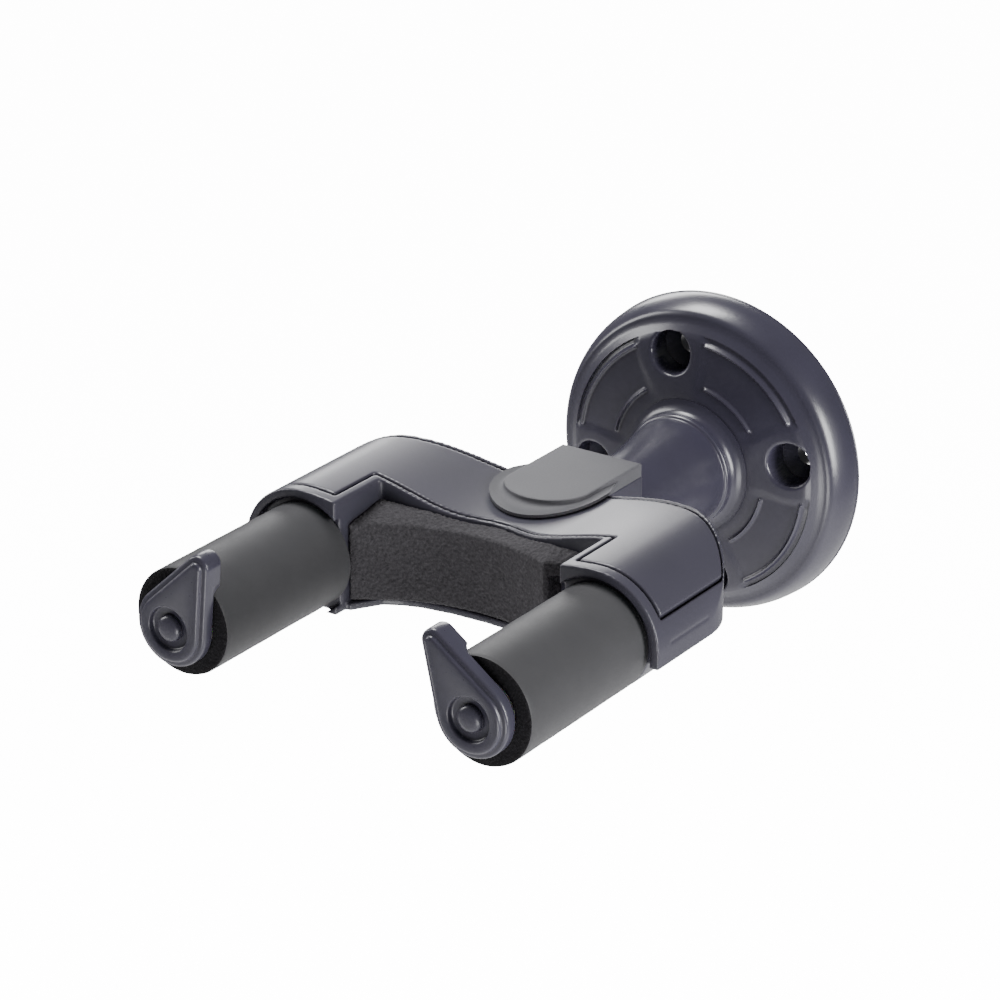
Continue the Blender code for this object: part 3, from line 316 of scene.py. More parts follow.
def make_neck():
    profile = [(0, 53.2), (2.5, 53.2), (2.5, 61.7), (2.8, 62.0), (5.6, 62.0), (6.0, 61.6),
               (6.0, 48.6), (10.0, 48.6)]
    profile += curve(((10.3, 48.3),) + NECK_KNOTS[1:], 5)
    profile += [(16.4, 13.15), (9.0, 13.15), (9.0, 4.5), (0, 4.5)]
    neck = turned("neck_turning", profile, steps=144)
    thread = [(0, 11), (NECK_SCREW_SHANK, 11), (NECK_SCREW_SHANK, 3), (0, 3)]
    return combine(neck, [turned(f"thread_{n}", thread, *neck_screw_spot(n), steps=24)
                          for n in range(3)])


dress(make_neck(), POWDER_COAT, "wall_mount", ["neck"], sharp=50)


# ---------------------------------------------------------- screws, tubes and linkage
# Stamped and turned steel pieces, zinc plated: the crosshead plate, cranks, rods, tubes,
# screws, pegs, washer and bolt, with nylon bushes. Most are hidden inside the yoke; the
# screws show from behind and from below.

# Bright zinc plate: a pale, slightly blue metal, with a fine drawn grain and faint
# cloudy patches left by the plating bath.
ZINC, shader, tree, place = start_material("bright_zinc_plate", Metallic=1.0, Roughness=0.3)
cloud = add_node(tree, "TexNoise", {"Vector": place, "Scale": grain(5), "Detail": 4.0})
tone = add_node(tree, "Mix", {0: cloud.outputs["Fac"], 6: linear("9fa3a8"), 7: linear("c2c5c8")},
                data_type="RGBA")
drawn = add_node(tree, "TexNoise", {"Vector": place, "Scale": grain(0.4), "Detail": 3.0})
gloss = add_node(tree, "MapRange", {0: drawn.outputs["Fac"], 3: 0.24, 4: 0.38})
bump = add_node(tree, "Bump", {"Height": drawn.outputs["Fac"], "Strength": 0.3,
                               "Distance": 0.01 * MM})
finish_with(tree, shader, tone, bump, gloss)

# Oiled spring steel: darker than the plated pieces, drawn wire with a thin oil film.
SPRING_STEEL, shader, tree, place = start_material("oiled_spring_steel", Metallic=1.0,
                                                   Roughness=0.34)
cloud = add_node(tree, "TexNoise", {"Vector": place, "Scale": grain(0.8), "Detail": 3.0})
tone = add_node(tree, "Mix", {0: cloud.outputs["Fac"], 6: linear("5c5b5a"), 7: linear("86868a")},
                data_type="RGBA")
finish_with(tree, shader, tone)

# Natural nylon: milky off-white, a little light passes into it, with a faint mould grain.
NYLON, shader, tree, place = start_material(
    "natural_nylon", Roughness=0.48, IOR=1.53, Subsurface_Weight=0.15, Subsurface_Scale=2 * MM)
cloud = add_node(tree, "TexNoise", {"Vector": place, "Scale": grain(3), "Detail": 3.0})
tone = add_node(tree, "Mix", {0: cloud.outputs["Fac"], 6: linear("d2cfc4"), 7: linear("dedbd2")},
                data_type="RGBA")
finish_with(tree, shader, tone)

BY_SLOT = {"zinc_plated_steel": ZINC, "white_nylon": NYLON}
for subpart in frame["record"]["subparts"]:
    if subpart["material_slot"] in BY_SLOT:
        solid = frame["nodes"][subpart["node"]]
        solid.data.materials.clear()
        solid.data.materials.append(BY_SLOT[subpart["material_slot"]])


# --------------------------------------------------------------------- return springs
# Two compression springs stand on the sliding block's wings and lift the yoke's cover.
# They close up as the yoke drops; here each is a fixed coil that rides with the head.

SPRING_X = 15.3
SPRING_REACH = 74.6
SPRING_COIL = 3.1
SPRING_WIRE = 0.4
SPRING_TURNS = 6
SPRING_FOOT = -4.2
SPRING_HEAD = 10.9


def make_spring(name, x):
    rings = []
    count = SPRING_TURNS * 32
    sides = [math.tau * i / 12 for i in range(12)]
    for i in range(count + 1):
        turn, rise = math.tau * SPRING_TURNS * i / count, i / count
        rise -= 0.06 * math.sin(math.tau * rise)
        height = SPRING_FOOT + SPRING_WIRE + rise * (SPRING_HEAD - SPRING_FOOT - 2 * SPRING_WIRE)
        rings.append([(x + (SPRING_COIL + SPRING_WIRE * math.cos(a)) * math.cos(turn),
                       (SPRING_COIL + SPRING_WIRE * math.cos(a)) * math.sin(turn) - SPRING_REACH,
                       height + SPRING_WIRE * math.sin(a)) for a in sides])
    return loft(name, rings)


for side, sign in (("left", -1), ("right", 1)):
    spring = dress(make_spring(f"return_coil_{side}", sign * SPRING_X), SPRING_STEEL, "head",
                   [f"return_spring_{side}"])
    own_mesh(spring)


# --------------------------------------------------------------- sliding block and cap
# The block that the yoke slides on, moulded in the yoke's own plastic, and the D-shaped
# cap that is pegged on its top. The cap's front flares out into a thin flange that just
# clears the yoke's cover and follows its curve. The cap's plastic is paler and duller.

ARM_X = 38.5
ARM_Z = 3.2
HOOD_RADIUS = 15.6
MIDDLE_TOP = 12.2
CAP_TOP = 15.5
CAP_HALF = 10.6
CAP_REAR = 50.2
CAP_NOSE = 71.5
CAP_FRONT = 81.0
FLARE_START = 59.0
FLARE_FULL = 69.0
FLANGE_HALF = 13.2
FLANGE_FRONT = 85.6
FLANGE_GAP = 0.4
FLANGE_EDGE = 0.7
NOSE_START = 72.0
PEG_REACHES = (55.0, 77.0)
PEG_BORE = 1.4
BLOCK_HALF = 10.3
BLOCK_FRONT = 81.8
NOSE_BOTTOM = 1.8
WING_HALF = 19.4
BOLT_HEAD_BORE = 6.6
BOLT_SHANK_BORE = 2.6
SPIGOT_BORE = 6.3
CROSSHEAD_SCREW_X = 7.6
CROSSHEAD_SCREW_Z = -1.4


def top_height(x):
    """Height of the yoke's top, which rises from the middle to a crest over each arm."""
    run = min(abs(x) / ARM_X, 1)
    return MIDDLE_TOP + (HOOD_RADIUS + ARM_Z - MIDDLE_TOP) * (1 - math.cos(math.pi * run)) / 2


def cap_outline(spread, inset=0.0):
    """Plan of the cap as (x, reach), spread from 0 at the nose's wall to 1 at the flange."""
    right = []
    for i in range(25):
        reach = CAP_REAR + inset + (CAP_NOSE - CAP_REAR - inset) * i / 24
        flare = ease((reach - FLARE_START) / (FLARE_FULL - FLARE_START))
        right.append((CAP_HALF - inset + spread * flare * (FLANGE_HALF - CAP_HALF), reach))
    half = CAP_HALF - inset + spread * (FLANGE_HALF - CAP_HALF)
    depth = CAP_FRONT - CAP_NOSE - inset + spread * (FLANGE_FRONT - CAP_FRONT)
    for i in range(1, 33):
        turn = math.radians(90 * i / 32)
        right.append((half * math.cos(turn), CAP_NOSE + depth * math.sin(turn)))
    return right + [(-x, reach) for x, reach in reversed(right[:-1])]


def peg_holes(low, high):
    turns = [math.tau * i / 24 for i in range(24)]
    return [loft("peg_hole", [[(PEG_BORE * math.cos(t), PEG_BORE * math.sin(t) - reach, z)
                               for t in turns] for z in (low, high)]) for reach in PEG_REACHES]


def make_cap():
    def ring(spread, height, inset=0.0):
        return [(x, -reach, height(x)) for x, reach in cap_outline(spread, inset)]

    def base(x):
        return top_height(x) + FLANGE_GAP

    rings = [ring(0, lambda x: 12.3, 1.2), ring(0, lambda x: 12.3), ring(0, base)]
    rings += [ring(1, base), ring(1, lambda x: base(x) + FLANGE_EDGE)]
    for step in range(1, 8):
        turn = math.radians(90 * step / 7)
        spread = 1 - math.sin(turn) ** 0.8
        lift = 1 - math.cos(turn)
        rings.append(ring(spread, lambda x: base(x) + FLANGE_EDGE
                          + lift * max(CAP_TOP - 0.6 - base(x) - FLANGE_EDGE, 0.1)))
    rings += [ring(0, lambda x: CAP_TOP - 0.4), ring(0, lambda x: CAP_TOP - 0.12, 0.1),
              ring(0, lambda x: CAP_TOP, 0.35), ring(0, lambda x: CAP_TOP, 0.6)]
    cap = loft("block_cap_moulding", rings)
    return combine(cap, peg_holes(11.0, 14.3))


def arc(centre, radius, start, end, count):
    """Points on a circle between two angles in degrees."""
    turns = [math.radians(start + (end - start) * i / count) for i in range(count + 1)]
    return [(centre[0] + radius * math.cos(t), centre[1] + radius * math.sin(t)) for t in turns]


def upright(name, outline, low, high):
    """A solid with one plan of (x, reach) points between two heights."""
    return loft(name, [[(x, -reach, z) for x, reach in outline] for z in (low, high)])


def block(name, x_span, reach_span, z_span, soft=0.0):
    """A block between three pairs of limits, with its edges eased if soft."""
    points = [(x, -reach, z) for x in x_span for reach in reach_span for z in z_span]
    faces = [(0, 1, 3, 2), (4, 6, 7, 5), (0, 4, 5, 1), (2, 3, 7, 6), (0, 2, 6, 4), (1, 5, 7, 3)]
    made = build(name, points, faces)
    if soft:
        bevel = made.modifiers.new("ease", "BEVEL")
        bevel.width = soft * MM
        bevel.segments = 3
        bake(made)
    return made


def make_block():
    body = block("sliding_block_moulding", (-BLOCK_HALF, BLOCK_HALF), (49.0, BLOCK_FRONT),
                 (-11.0, 12.0), 0.5)
    combine(body, [block("wings", (-WING_HALF, WING_HALF), (70.9, 78.4), (-6.9, -4.5), 0.3)],
            "UNION")
    for sign in (-1, 1):
        beside = [(11.5, NOSE_START), (BLOCK_HALF, NOSE_START)]
        beside += arc((0, NOSE_START), BLOCK_HALF, 4, 90, 22) + [(0, 83), (11.5, 83)]
        combine(body, [upright("nose", [(sign * x, reach) for x, reach in beside],
                               NOSE_BOTTOM, 14)])
    bore = [(0, 83), (BOLT_HEAD_BORE, 83), (BOLT_HEAD_BORE, 68.0), (BOLT_SHANK_BORE, 68.0),
            (BOLT_SHANK_BORE, 62.3), (SPIGOT_BORE, 62.3), (SPIGOT_BORE, 48), (0, 48)]
    tools = [turned("bolt_bore", bore, steps=64)]
    thread = [(0, 83), (1.5, 83), (1.5, 74.8), (0, 74.8)]
    for x in (-CROSSHEAD_SCREW_X, CROSSHEAD_SCREW_X):
        tools.append(turned("thread", thread, x, CROSSHEAD_SCREW_Z, steps=24))
    return combine(body, tools + peg_holes(8.0, 13.0))


# Satin ABS: moulded in a lightly spark-eroded tool, so it has a fine even grain of about
# 0.35 mm, soft highlights and a faint purple cast.
SATIN_ABS, shader, tree, place = start_material("satin_abs_moulding", IOR=1.54)
cloud = add_node(tree, "TexNoise", {"Vector": place, "Scale": grain(22), "Detail": 2.0})
tone = add_node(tree, "Mix", {0: cloud.outputs["Fac"], 6: linear("37363f"), 7: linear("3e3c48")},
                data_type="RGBA")
erosion = add_node(tree, "TexNoise", {"Vector": place, "Scale": grain(0.35), "Detail": 2.0})
gloss = add_node(tree, "MapRange", {0: erosion.outputs["Fac"], 3: 0.3, 4: 0.4})
bump = add_node(tree, "Bump", {"Height": erosion.outputs["Fac"], "Strength": 0.6,
                               "Distance": 0.012 * MM})
finish_with(tree, shader, tone, bump, gloss)

# Matt ABS: a coarser erosion grain of about 0.5 mm leaves it paler and nearly without gloss.
MATT_ABS, shader, tree, place = start_material(
    "matt_abs_moulding", IOR=1.54, Specular_IOR_Level=0.35)
cloud = add_node(tree, "TexNoise", {"Vector": place, "Scale": grain(12), "Detail": 2.0})
tone = add_node(tree, "Mix", {0: cloud.outputs["Fac"], 6: linear("4c4c50"), 7: linear("545458")},
                data_type="RGBA")
erosion = add_node(tree, "TexNoise", {"Vector": place, "Scale": grain(0.5), "Detail": 2.0})
gloss = add_node(tree, "MapRange", {0: erosion.outputs["Fac"], 3: 0.55, 4: 0.68})
bump = add_node(tree, "Bump", {"Height": erosion.outputs["Fac"], "Strength": 0.6,
                               "Distance": 0.015 * MM})
finish_with(tree, shader, tone, bump, gloss)

dress(make_block(), SATIN_ABS, "head", ["sliding_block"])
dress(make_cap(), MATT_ABS, "head", ["block_cap"])


# ----------------------------------------------------------------- yoke's lower shell
# The yoke's body, one ABS moulding: a hood over each arm, a hollow cradle under it and a
# rear wall round the block's slot. Its rim stands round the inlaid cover as a thin lip.
# It is shaped from solids and then eased all over, as a moulding's edges are.

HOOD_FRONT = 112.3
HOOD_WALL = 29.3
BROW_FRONT = 91.0
BROW_DEPTH = 4.3
BROW_SPREAD = 9.5
REAR_EDGE = 65.0
REAR_SWEEP = 6.5
REAR_POWER = 1.5
CORNER_X = 36.0
CORNER_END = 91.0
CORNER_PULL = 11.8
CORNER_HANDLE = 7
CAVITY_FRONT = 88.8
COVER_THICK = 2.0
COVER_HALF = 52.2
COVER_EDGE = 10.1
GAP = 0.3
FLOOR = -9.0
FLOOR_THICK = 1.8
SKIRT = -0.3
CRADLE = 12.2
SIDE_WALL = 3.0
REAR_WALL = 2.3
SLOT_HALF = 11
SLOT_FRONT = 82.5
POST_RADIUS = 3.0
SCREW_BORE = 1.5
SCREW_SINK = 2.7
CLAMP_BORE = 1.8
RECESS_MARGINS = (1.1, 2.1, 3.1, 0, 1.1)
# Tools run from well under the yoke to well above it
BELOW = -30
ABOVE = 40
SCREW_SPOTS = ((24.0, 75.5), (34.0, 78.2))


def brow_reach(x):
    """Front edge of the yoke between the arms, over the foam pad."""
    return BROW_FRONT + BROW_DEPTH * (1 - math.exp(-(x / BROW_SPREAD) ** 2))


def rear_reach(x):
    """Rear edge of the yoke, which sweeps forward towards the corners."""
    return REAR_EDGE + REAR_SWEEP * (abs(x) / CORNER_X) ** REAR_POWER


def both(right_half):
    """Close an outline whose right half runs from the centre line round to it again."""
    return right_half + [(-x, v) for x, v in reversed(right_half) if x > 0]


def corner(end_x, margin, side):
    """Rounded rear corner, from the outer side round to the rear edge."""
    rear_end = CORNER_X - side
    back = rear_reach(CORNER_X) + margin
    slope = REAR_POWER * REAR_SWEEP / CORNER_X
    p = [Vector(q) for q in ((end_x, CORNER_END), (end_x, CORNER_END - CORNER_PULL + margin),
                             (rear_end + CORNER_HANDLE, back + slope * CORNER_HANDLE),
                             (rear_end, back))]
    points = []
    for i in range(25):
        t = i / 24
        points.append(tuple((1 - t) ** 3 * p[0] + 3 * t * (1 - t) ** 2 * p[1]
                            + 3 * t * t * (1 - t) * p[2] + t ** 3 * p[3]))
    return points


def yoke_plan(edge, wall, front, side, rear):
    """Right half of the yoke seen from above, drawn in by a margin at each border."""
    corner_x = HOOD_WALL + wall
    half_side = ARM_X + HOOD_RADIUS - side
    points = [(HOOD_WALL * i / 30, brow_reach(HOOD_WALL * i / 30) - edge) for i in range(30)]
    points += arc((corner_x - 0.8, brow_reach(corner_x) - edge + 0.8), 0.8, -90, 0, 4)
    points += [(corner_x, HOOD_FRONT - front), (half_side, HOOD_FRONT - front)]
    points += corner(half_side, rear, side)
    spots = [CORNER_X * i / 18 for i in range(17, -1, -1)]
    return points + [(x, rear_reach(x) + rear) for x in spots]


def top_line(sink, end_x):
    """Right half of the yoke's top, from the centre out to end_x, sunk by a depth."""
    line = [(ARM_X * i / 40, top_height(ARM_X * i / 40) - sink) for i in range(40)]
    radius = HOOD_RADIUS - sink
    last = math.degrees(math.acos(min((end_x - ARM_X) / radius, 1)))
    return line + arc((ARM_X, ARM_Z), radius, 90, last, 30)


def across(name, outline, low, high):
    """A solid with one cross-section of (x, z) points between two reaches."""
    return loft(name, [[(x, -reach, z) for x, z in outline] for reach in (low, high)])


def rod(name, radius, low, high, x, reach, sides=32):
    """An upright cylinder."""
    return upright(name, arc((x, reach), radius, 0, 360 * (1 - 1 / sides), sides - 1), low, high)


def moulded(piece, voxel, rounds, keep):
    """Ease every edge of a piece: remesh it finely, smooth it and thin out the mesh."""
    remesh = piece.modifiers.new("remesh", "REMESH")
    remesh.mode = "VOXEL"
    remesh.voxel_size = voxel * MM
    smooth = piece.modifiers.new("smooth", "SMOOTH")
    smooth.factor = 0.5
    smooth.iterations = rounds
    thin = piece.modifiers.new("thin", "DECIMATE")
    thin.ratio = keep
    return bake(piece)


def make_shell():
    side_x = ARM_X + HOOD_RADIUS
    skirt_start = math.degrees(math.asin((SKIRT - ARM_Z) / CRADLE))
    outline = top_line(0, side_x) + [(side_x, SKIRT)]
    outline += arc((ARM_X, ARM_Z), CRADLE, skirt_start, -90, 16) + [(0, FLOOR)]
    shell = across("yoke_shell_moulding", both(outline), 60, 116)
    combine(shell, [upright("plan", both(yoke_plan(0, 0, 0, 0, 0)), BELOW, ABOVE)], "INTERSECT")
    lip = [(0, 97.2), (8, 97.4), (16, 98.6), (20, 99.9), (24, 102.0), (28.2, 108.5), (32, 108.5),
           (32, 90), (0, 90)]
    combine(shell, [upright("floor_lip", both(lip), FLOOR, FLOOR + FLOOR_THICK)], "UNION")

    above = top_line(COVER_THICK + GAP, COVER_HALF - 1)
    above += [(COVER_HALF + GAP, COVER_EDGE), (COVER_HALF + GAP, 30), (0, 30)]
    recess = across("recess", both(above), 50, 120)
    combine(recess, [upright("recess_plan", both(yoke_plan(*RECESS_MARGINS)), BELOW, ABOVE)],
            "INTERSECT")

    low = SKIRT + FLOOR_THICK
    radius = ARM_Z - FLOOR - FLOOR_THICK
    hollow = [(0, ABOVE), (side_x - SIDE_WALL, ABOVE), (side_x - SIDE_WALL, low)]
    hollow += arc((ARM_X, ARM_Z), radius, math.degrees(math.asin((low - ARM_Z) / radius)), -90, 12)
    hollow += [(0, FLOOR + FLOOR_THICK)]
    cavity = across("cavity", both(hollow), 55, CAVITY_FRONT)
    inside = [(0, 120), (side_x - SIDE_WALL, 120)]
    inside += corner(side_x - SIDE_WALL, REAR_WALL, 0)
    inside += [(x, rear_reach(x) + REAR_WALL) for x in [CORNER_X * i / 9 for i in range(8, -1, -1)]]
    combine(cavity, [upright("cavity_plan", both(inside), BELOW, 60)], "INTERSECT")
    tools = [recess, cavity]
    for sign in (-1, 1):
        tools.append(turned("socket", [(0, 114), (13.6, 114), (13.6, 110.4), (8.3, 110.4),
                                       (8.3, 86.8), (0, 86.8)], sign * ARM_X, ARM_Z))
    combine(shell, tools)
    posts = []
    drills = [block("slot", (-SLOT_HALF, SLOT_HALF), (55, SLOT_FRONT), (BELOW, ABOVE))]
    for sign in (-1, 1):
        for x, reach in SCREW_SPOTS:
            top = top_height(x) - 6.3
            posts.append(rod("post", POST_RADIUS, FLOOR + 0.5, top, sign * x, reach))
            drills.append(rod("bore", SCREW_BORE, FLOOR - 1, top + 1, sign * x, reach))
            drills.append(rod("sink", SCREW_SINK, FLOOR - 1, FLOOR + 1.7, sign * x, reach))
        drills.append(rod("clamp", CLAMP_BORE, FLOOR - 1, ARM_Z - 7, sign * ARM_X, 100.0))
        groove = [(sign * (side_x + 1), 107.5), (sign * (side_x - 0.35), 107.5),
                  (sign * (side_x - 0.35), 92.0), (sign * (side_x + 1), 92.0)]
        drills.append(upright("side_groove", groove, 4.1, 4.75))
    combine(shell, posts, "UNION")
    combine(shell, drills)
    return moulded(shell, 0.34, 4, 0.4)


dress(make_shell(), SATIN_ABS, "yoke", ["lower_shell"], sharp=180)


# ----------------------------------------------------------------------- yoke's cover
# The plate let into the top of the shell, bent over both hoods and notched for the
# block. It is held from below by four screws in its bosses. Same ABS as the shell.

COVER_MARGINS = (1.75, 2.75, 3.75, 0, 1.75)


def make_cover():
    outer = top_line(0, COVER_HALF)
    inner = top_line(COVER_THICK, COVER_HALF - 1.2)
    cover = across("yoke_cover_moulding", both(outer + list(reversed(inner))), 50, 120)
    combine(cover, [upright("plan", both(yoke_plan(*COVER_MARGINS)), BELOW, ABOVE)], "INTERSECT")
    bosses = []
    notch = [(-SLOT_HALF, 55), (SLOT_HALF, 55)] + arc((0, NOSE_START), SLOT_HALF, 0, 180, 40)
    holes = [upright("notch", notch, BELOW, ABOVE)]
    for sign in (-1, 1):
        for x, reach in SCREW_SPOTS:
            bottom = top_height(x) - 6
            bosses.append(rod("boss", POST_RADIUS, bottom, top_height(x) - 1.2, sign * x, reach))
            holes.append(rod("thread", SCREW_BORE, bottom - 1, bottom + 3.2, sign * x, reach))
    combine(cover, bosses, "UNION")
    combine(cover, holes)
    return moulded(cover, 0.3, 4, 0.4)


dress(make_cover(), SATIN_ABS, "yoke", ["top_cover"], sharp=180)


# --------------------------------------------------------------------------- foam pad
# The guitar's neck rests against this pad: a block of open-textured foam glued to the
# yoke's front wall, its face hollowed to a neck's round back and its top edge cut to a
# slope. It is firm, so it is formed directly and not swelled, with real grain on it.

PAD_LEFT = -28.9
PAD_FACE_END = 18.0
PAD_RIGHT = 27.4
PAD_BOTTOM = -6.9
PAD_CREASE = 11.5
PAD_GRAIN = 0.13
PAD_FRONT = 97.5
PAD_HOLLOW = 46
PAD_CUT_BACK = 0.55
NOTCH = [(18.9, 92), (18.9, 106), (26.0, 106), (26.0, 92)]


def pad_face(x):
    """Reach of the pad's face; past its right end the foam is cut back at a slant."""
    hollow = min(x, PAD_FACE_END)
    sag = PAD_HOLLOW - math.sqrt(PAD_HOLLOW ** 2 - hollow ** 2)
    return PAD_FRONT + sag - PAD_CUT_BACK * max(x - PAD_FACE_END, 0)


def pad_top(x):
    """Height at which the sloped top edge meets the yoke's front wall."""
    return 11.7 + 1.7 * ease((abs(x) - 3) / 14)


def make_pad():
    rings = []
    columns = 200
    for i in range(columns + 1):
        x = PAD_LEFT + (PAD_RIGHT - PAD_LEFT) * i / columns
        face, wall, top = pad_face(x), brow_reach(x) + 0.25, pad_top(x)
        ring = [(wall, PAD_BOTTOM + (top - PAD_BOTTOM) * k / 10) for k in range(10)]
        ring += [(wall + (face - 0.5 - wall) * k / 24, top + (PAD_CREASE - top) * k / 24)
                 for k in range(25)]
        ring += [(face, PAD_CREASE - 0.4 + (PAD_BOTTOM + 0.8 - PAD_CREASE) * k / 60)
                 for k in range(61)]
        ring += [(face - 0.4 - (face - 0.6 - wall) * k / 12, PAD_BOTTOM) for k in range(12)]
        rings.append([(x, -reach, z) for reach, z in ring])
    pad = loft("neck_pad_foam", rings)
    combine(pad, [upright("end_notch", NOTCH, -9, 8.4)])
    even = pad.modifiers.new("even", "REMESH")
    even.mode = "VOXEL"
    even.voxel_size = 0.3 * MM
    bake(pad)
    bm = bmesh.new()
    bm.from_mesh(pad.data)
    bm.normal_update()
    for vert in bm.verts:
        spot = vert.co / MM
        rough = noise.noise(spot * 1.5) + 0.6 * noise.noise(spot * 3.1)
        vert.co += vert.normal * rough * PAD_GRAIN * MM
    bm.to_mesh(pad.data)
    bm.free()
    return pad


# Open-textured polyether foam: dark grey and without gloss, with cells of about 0.7 mm.
# Its colour runs from dark to light with the same noise that raises its relief: painted highlights
# on the raised cell walls and painted shade in the hollows.
PAD_FOAM, shader, tree, place = start_material("open_cell_foam", Roughness=0.95, IOR=1.45)
cells = add_node(tree, "TexVoronoi", {"Vector": place, "Scale": grain(0.75)}, feature="F1")
relief_and_painted_light = add_node(tree, "TexNoise", {"Vector": place, "Scale": grain(0.9), "Detail": 4.0,
                                    "Roughness": 0.7})
# Painted highlight and painted shade: the colour goes from dark to light with the same noise that
# raises the relief.
tone = add_node(tree, "Mix", {0: relief_and_painted_light.outputs["Fac"], 6: linear("121114"), 7: linear("525054")},
                data_type="RGBA")
both_heights = add_node(tree, "Math", {0: cells.outputs["Distance"], 1: relief_and_painted_light.outputs["Fac"]},
                        operation="ADD")
bump = add_node(tree, "Bump", {"Height": both_heights.outputs[0], "Strength": 0.9,
                               "Distance": 0.25 * MM})
finish_with(tree, shader, tone, bump)

pad = dress(make_pad(), PAD_FOAM, "yoke", ["neck_pad"], sharp=180)


# ----------------------------------------------------------------------- foam sleeves
# A tube of closed-cell foam pushed over each steel arm. Its outer skin is smooth; the
# front end is a cut face, black and grainy. Like the pad it is firm, so the small dents
# and the grain of the cut are formed straight into its surface.

SLEEVE_RADIUS = 12.2
SLEEVE_BORE = 8.3
SLEEVE_REAR = 110.7
SLEEVE_FRONT = 154.5
CUT_GRAIN = 0.12


def make_sleeve(name, x):
    steps = 168
    profile = [(SLEEVE_RADIUS, SLEEVE_REAR + (SLEEVE_FRONT - 0.6 - SLEEVE_REAR) * i / 44)
               for i in range(45)]
    profile += [(SLEEVE_RADIUS - 0.12, SLEEVE_FRONT - 0.25),
                (SLEEVE_RADIUS - 0.4, SLEEVE_FRONT - 0.04)]
    cut_from = len(profile) - 1
    profile += [(SLEEVE_RADIUS - 0.7 - 3.2 * i / 12, SLEEVE_FRONT) for i in range(13)]
    cut_to = len(profile) - 1
    profile += [(SLEEVE_BORE, SLEEVE_FRONT - 0.3), (SLEEVE_BORE, SLEEVE_REAR)]
    rings = []
    for row, (radius, reach) in enumerate(profile):
        ring = []
        for i in range(steps):
            turn = math.tau * i / steps
            spot = Vector((x + radius * math.cos(turn), -reach, ARM_Z + radius * math.sin(turn)))
            if row < cut_from:
                dent = 0.05 * noise.noise(spot * 0.22)
                spot += Vector((math.cos(turn), 0, math.sin(turn))) * (dent - 0.04)
            elif row <= cut_to:
                rough = noise.noise(spot * 2.1) + 0.5 * noise.noise(spot * 4.3)
                spot.y += CUT_GRAIN * rough + 0.1
            ring.append(tuple(spot))
        rings.append(ring)
    return loft(name, rings, hollow=True)


# Foam skin: the closed skin of extruded foam, dull with a weak broad highlight, and with
# very faint pores of about 0.5 mm.
FOAM_SKIN, shader, tree, place = start_material(
    "closed_cell_foam_skin", IOR=1.45, Specular_IOR_Level=0.18)
cloud = add_node(tree, "TexNoise", {"Vector": place, "Scale": grain(9), "Detail": 3.0})
tone = add_node(tree, "Mix", {0: cloud.outputs["Fac"], 6: linear("3e3e40"), 7: linear("454547")},
                data_type="RGBA")
pores = add_node(tree, "TexNoise", {"Vector": place, "Scale": grain(0.5), "Detail": 3.0})
gloss = add_node(tree, "MapRange", {0: pores.outputs["Fac"], 3: 0.44, 4: 0.54})
bump = add_node(tree, "Bump", {"Height": pores.outputs["Fac"], "Strength": 0.4,
                               "Distance": 0.02 * MM})
finish_with(tree, shader, tone, bump, gloss)

# Cut foam: the sliced cells, about 0.6 mm across, trap the light and look nearly black.
CUT_FOAM, shader, tree, place = start_material("cut_cell_foam", Roughness=0.95, IOR=1.4)
cells = add_node(tree, "TexVoronoi", {"Vector": place, "Scale": grain(0.6)}, feature="F1")
tone = add_node(tree, "Mix", {0: cells.outputs["Distance"], 6: linear("1b191e"),
                              7: linear("0c0b0e")}, data_type="RGBA")
bump = add_node(tree, "Bump", {"Height": cells.outputs["Distance"], "Strength": 0.8,
                               "Distance": 0.2 * MM})
finish_with(tree, shader, tone, bump)

for side, sign in (("left", -1), ("right", 1)):
    sleeve = dress(make_sleeve(f"foam_sleeve_{side}", sign * ARM_X), FOAM_SKIN, "yoke",
                   [f"arm_sleeve_{side}"])
    sleeve.data.materials.append(CUT_FOAM)
    for face in sleeve.data.polygons:
        if -face.center.y / MM > SLEEVE_FRONT - 0.3:
            face.material_index = 1


# ------------------------------------------------------------------------------ gates
# The teardrop levers that turn inwards over the arms' ends, moulded in ABS, each fixed
# on its steel rod by a domed screw in a round recess. A step runs round the front face,
# and the tip is thicker behind so that it closes over the sleeve's end.

GATE_BACK = 155.2
GATE_FRONT = 159.2
HUB = 8.9
TIP_CENTRE = 17.2
TIP = 2.8
TIP_THICKER = 2.0
TIP_STEP = 12.7
LEAN = {"left": math.radians(26), "right": math.radians(33)}


def teardrop(inset, count=192):
    """Hull of the hub's and the tip's circles, drawn in by inset, as (u, v) points."""
    hub, tip = HUB - inset, max(TIP - inset, 0.3)
    centre = TIP_CENTRE - max(inset - TIP + 0.3, 0) * 1.6
    tangent = math.asin((hub - tip) / centre)
    right = arc((0, 0), hub, -90, math.degrees(tangent), count // 4)
    start = Vector(right[-1])
    end = Vector((tip * math.cos(tangent), centre + tip * math.sin(tangent)))
    right += [tuple(start.lerp(end, i / (count // 8))) for i in range(1, count // 8)]
    right += arc((0, centre), tip, math.degrees(tangent), 90, count // 8)
    return right + [(-u, v) for u, v in reversed(right[1:-1])]


def round_the_axis(radius, like):
    """A circle whose points lie in the same directions as those of an outline."""
    points = []
    for u, v in like:
        away = math.hypot(u, v)
        points.append((radius * u / away, radius * v / away))
    return points


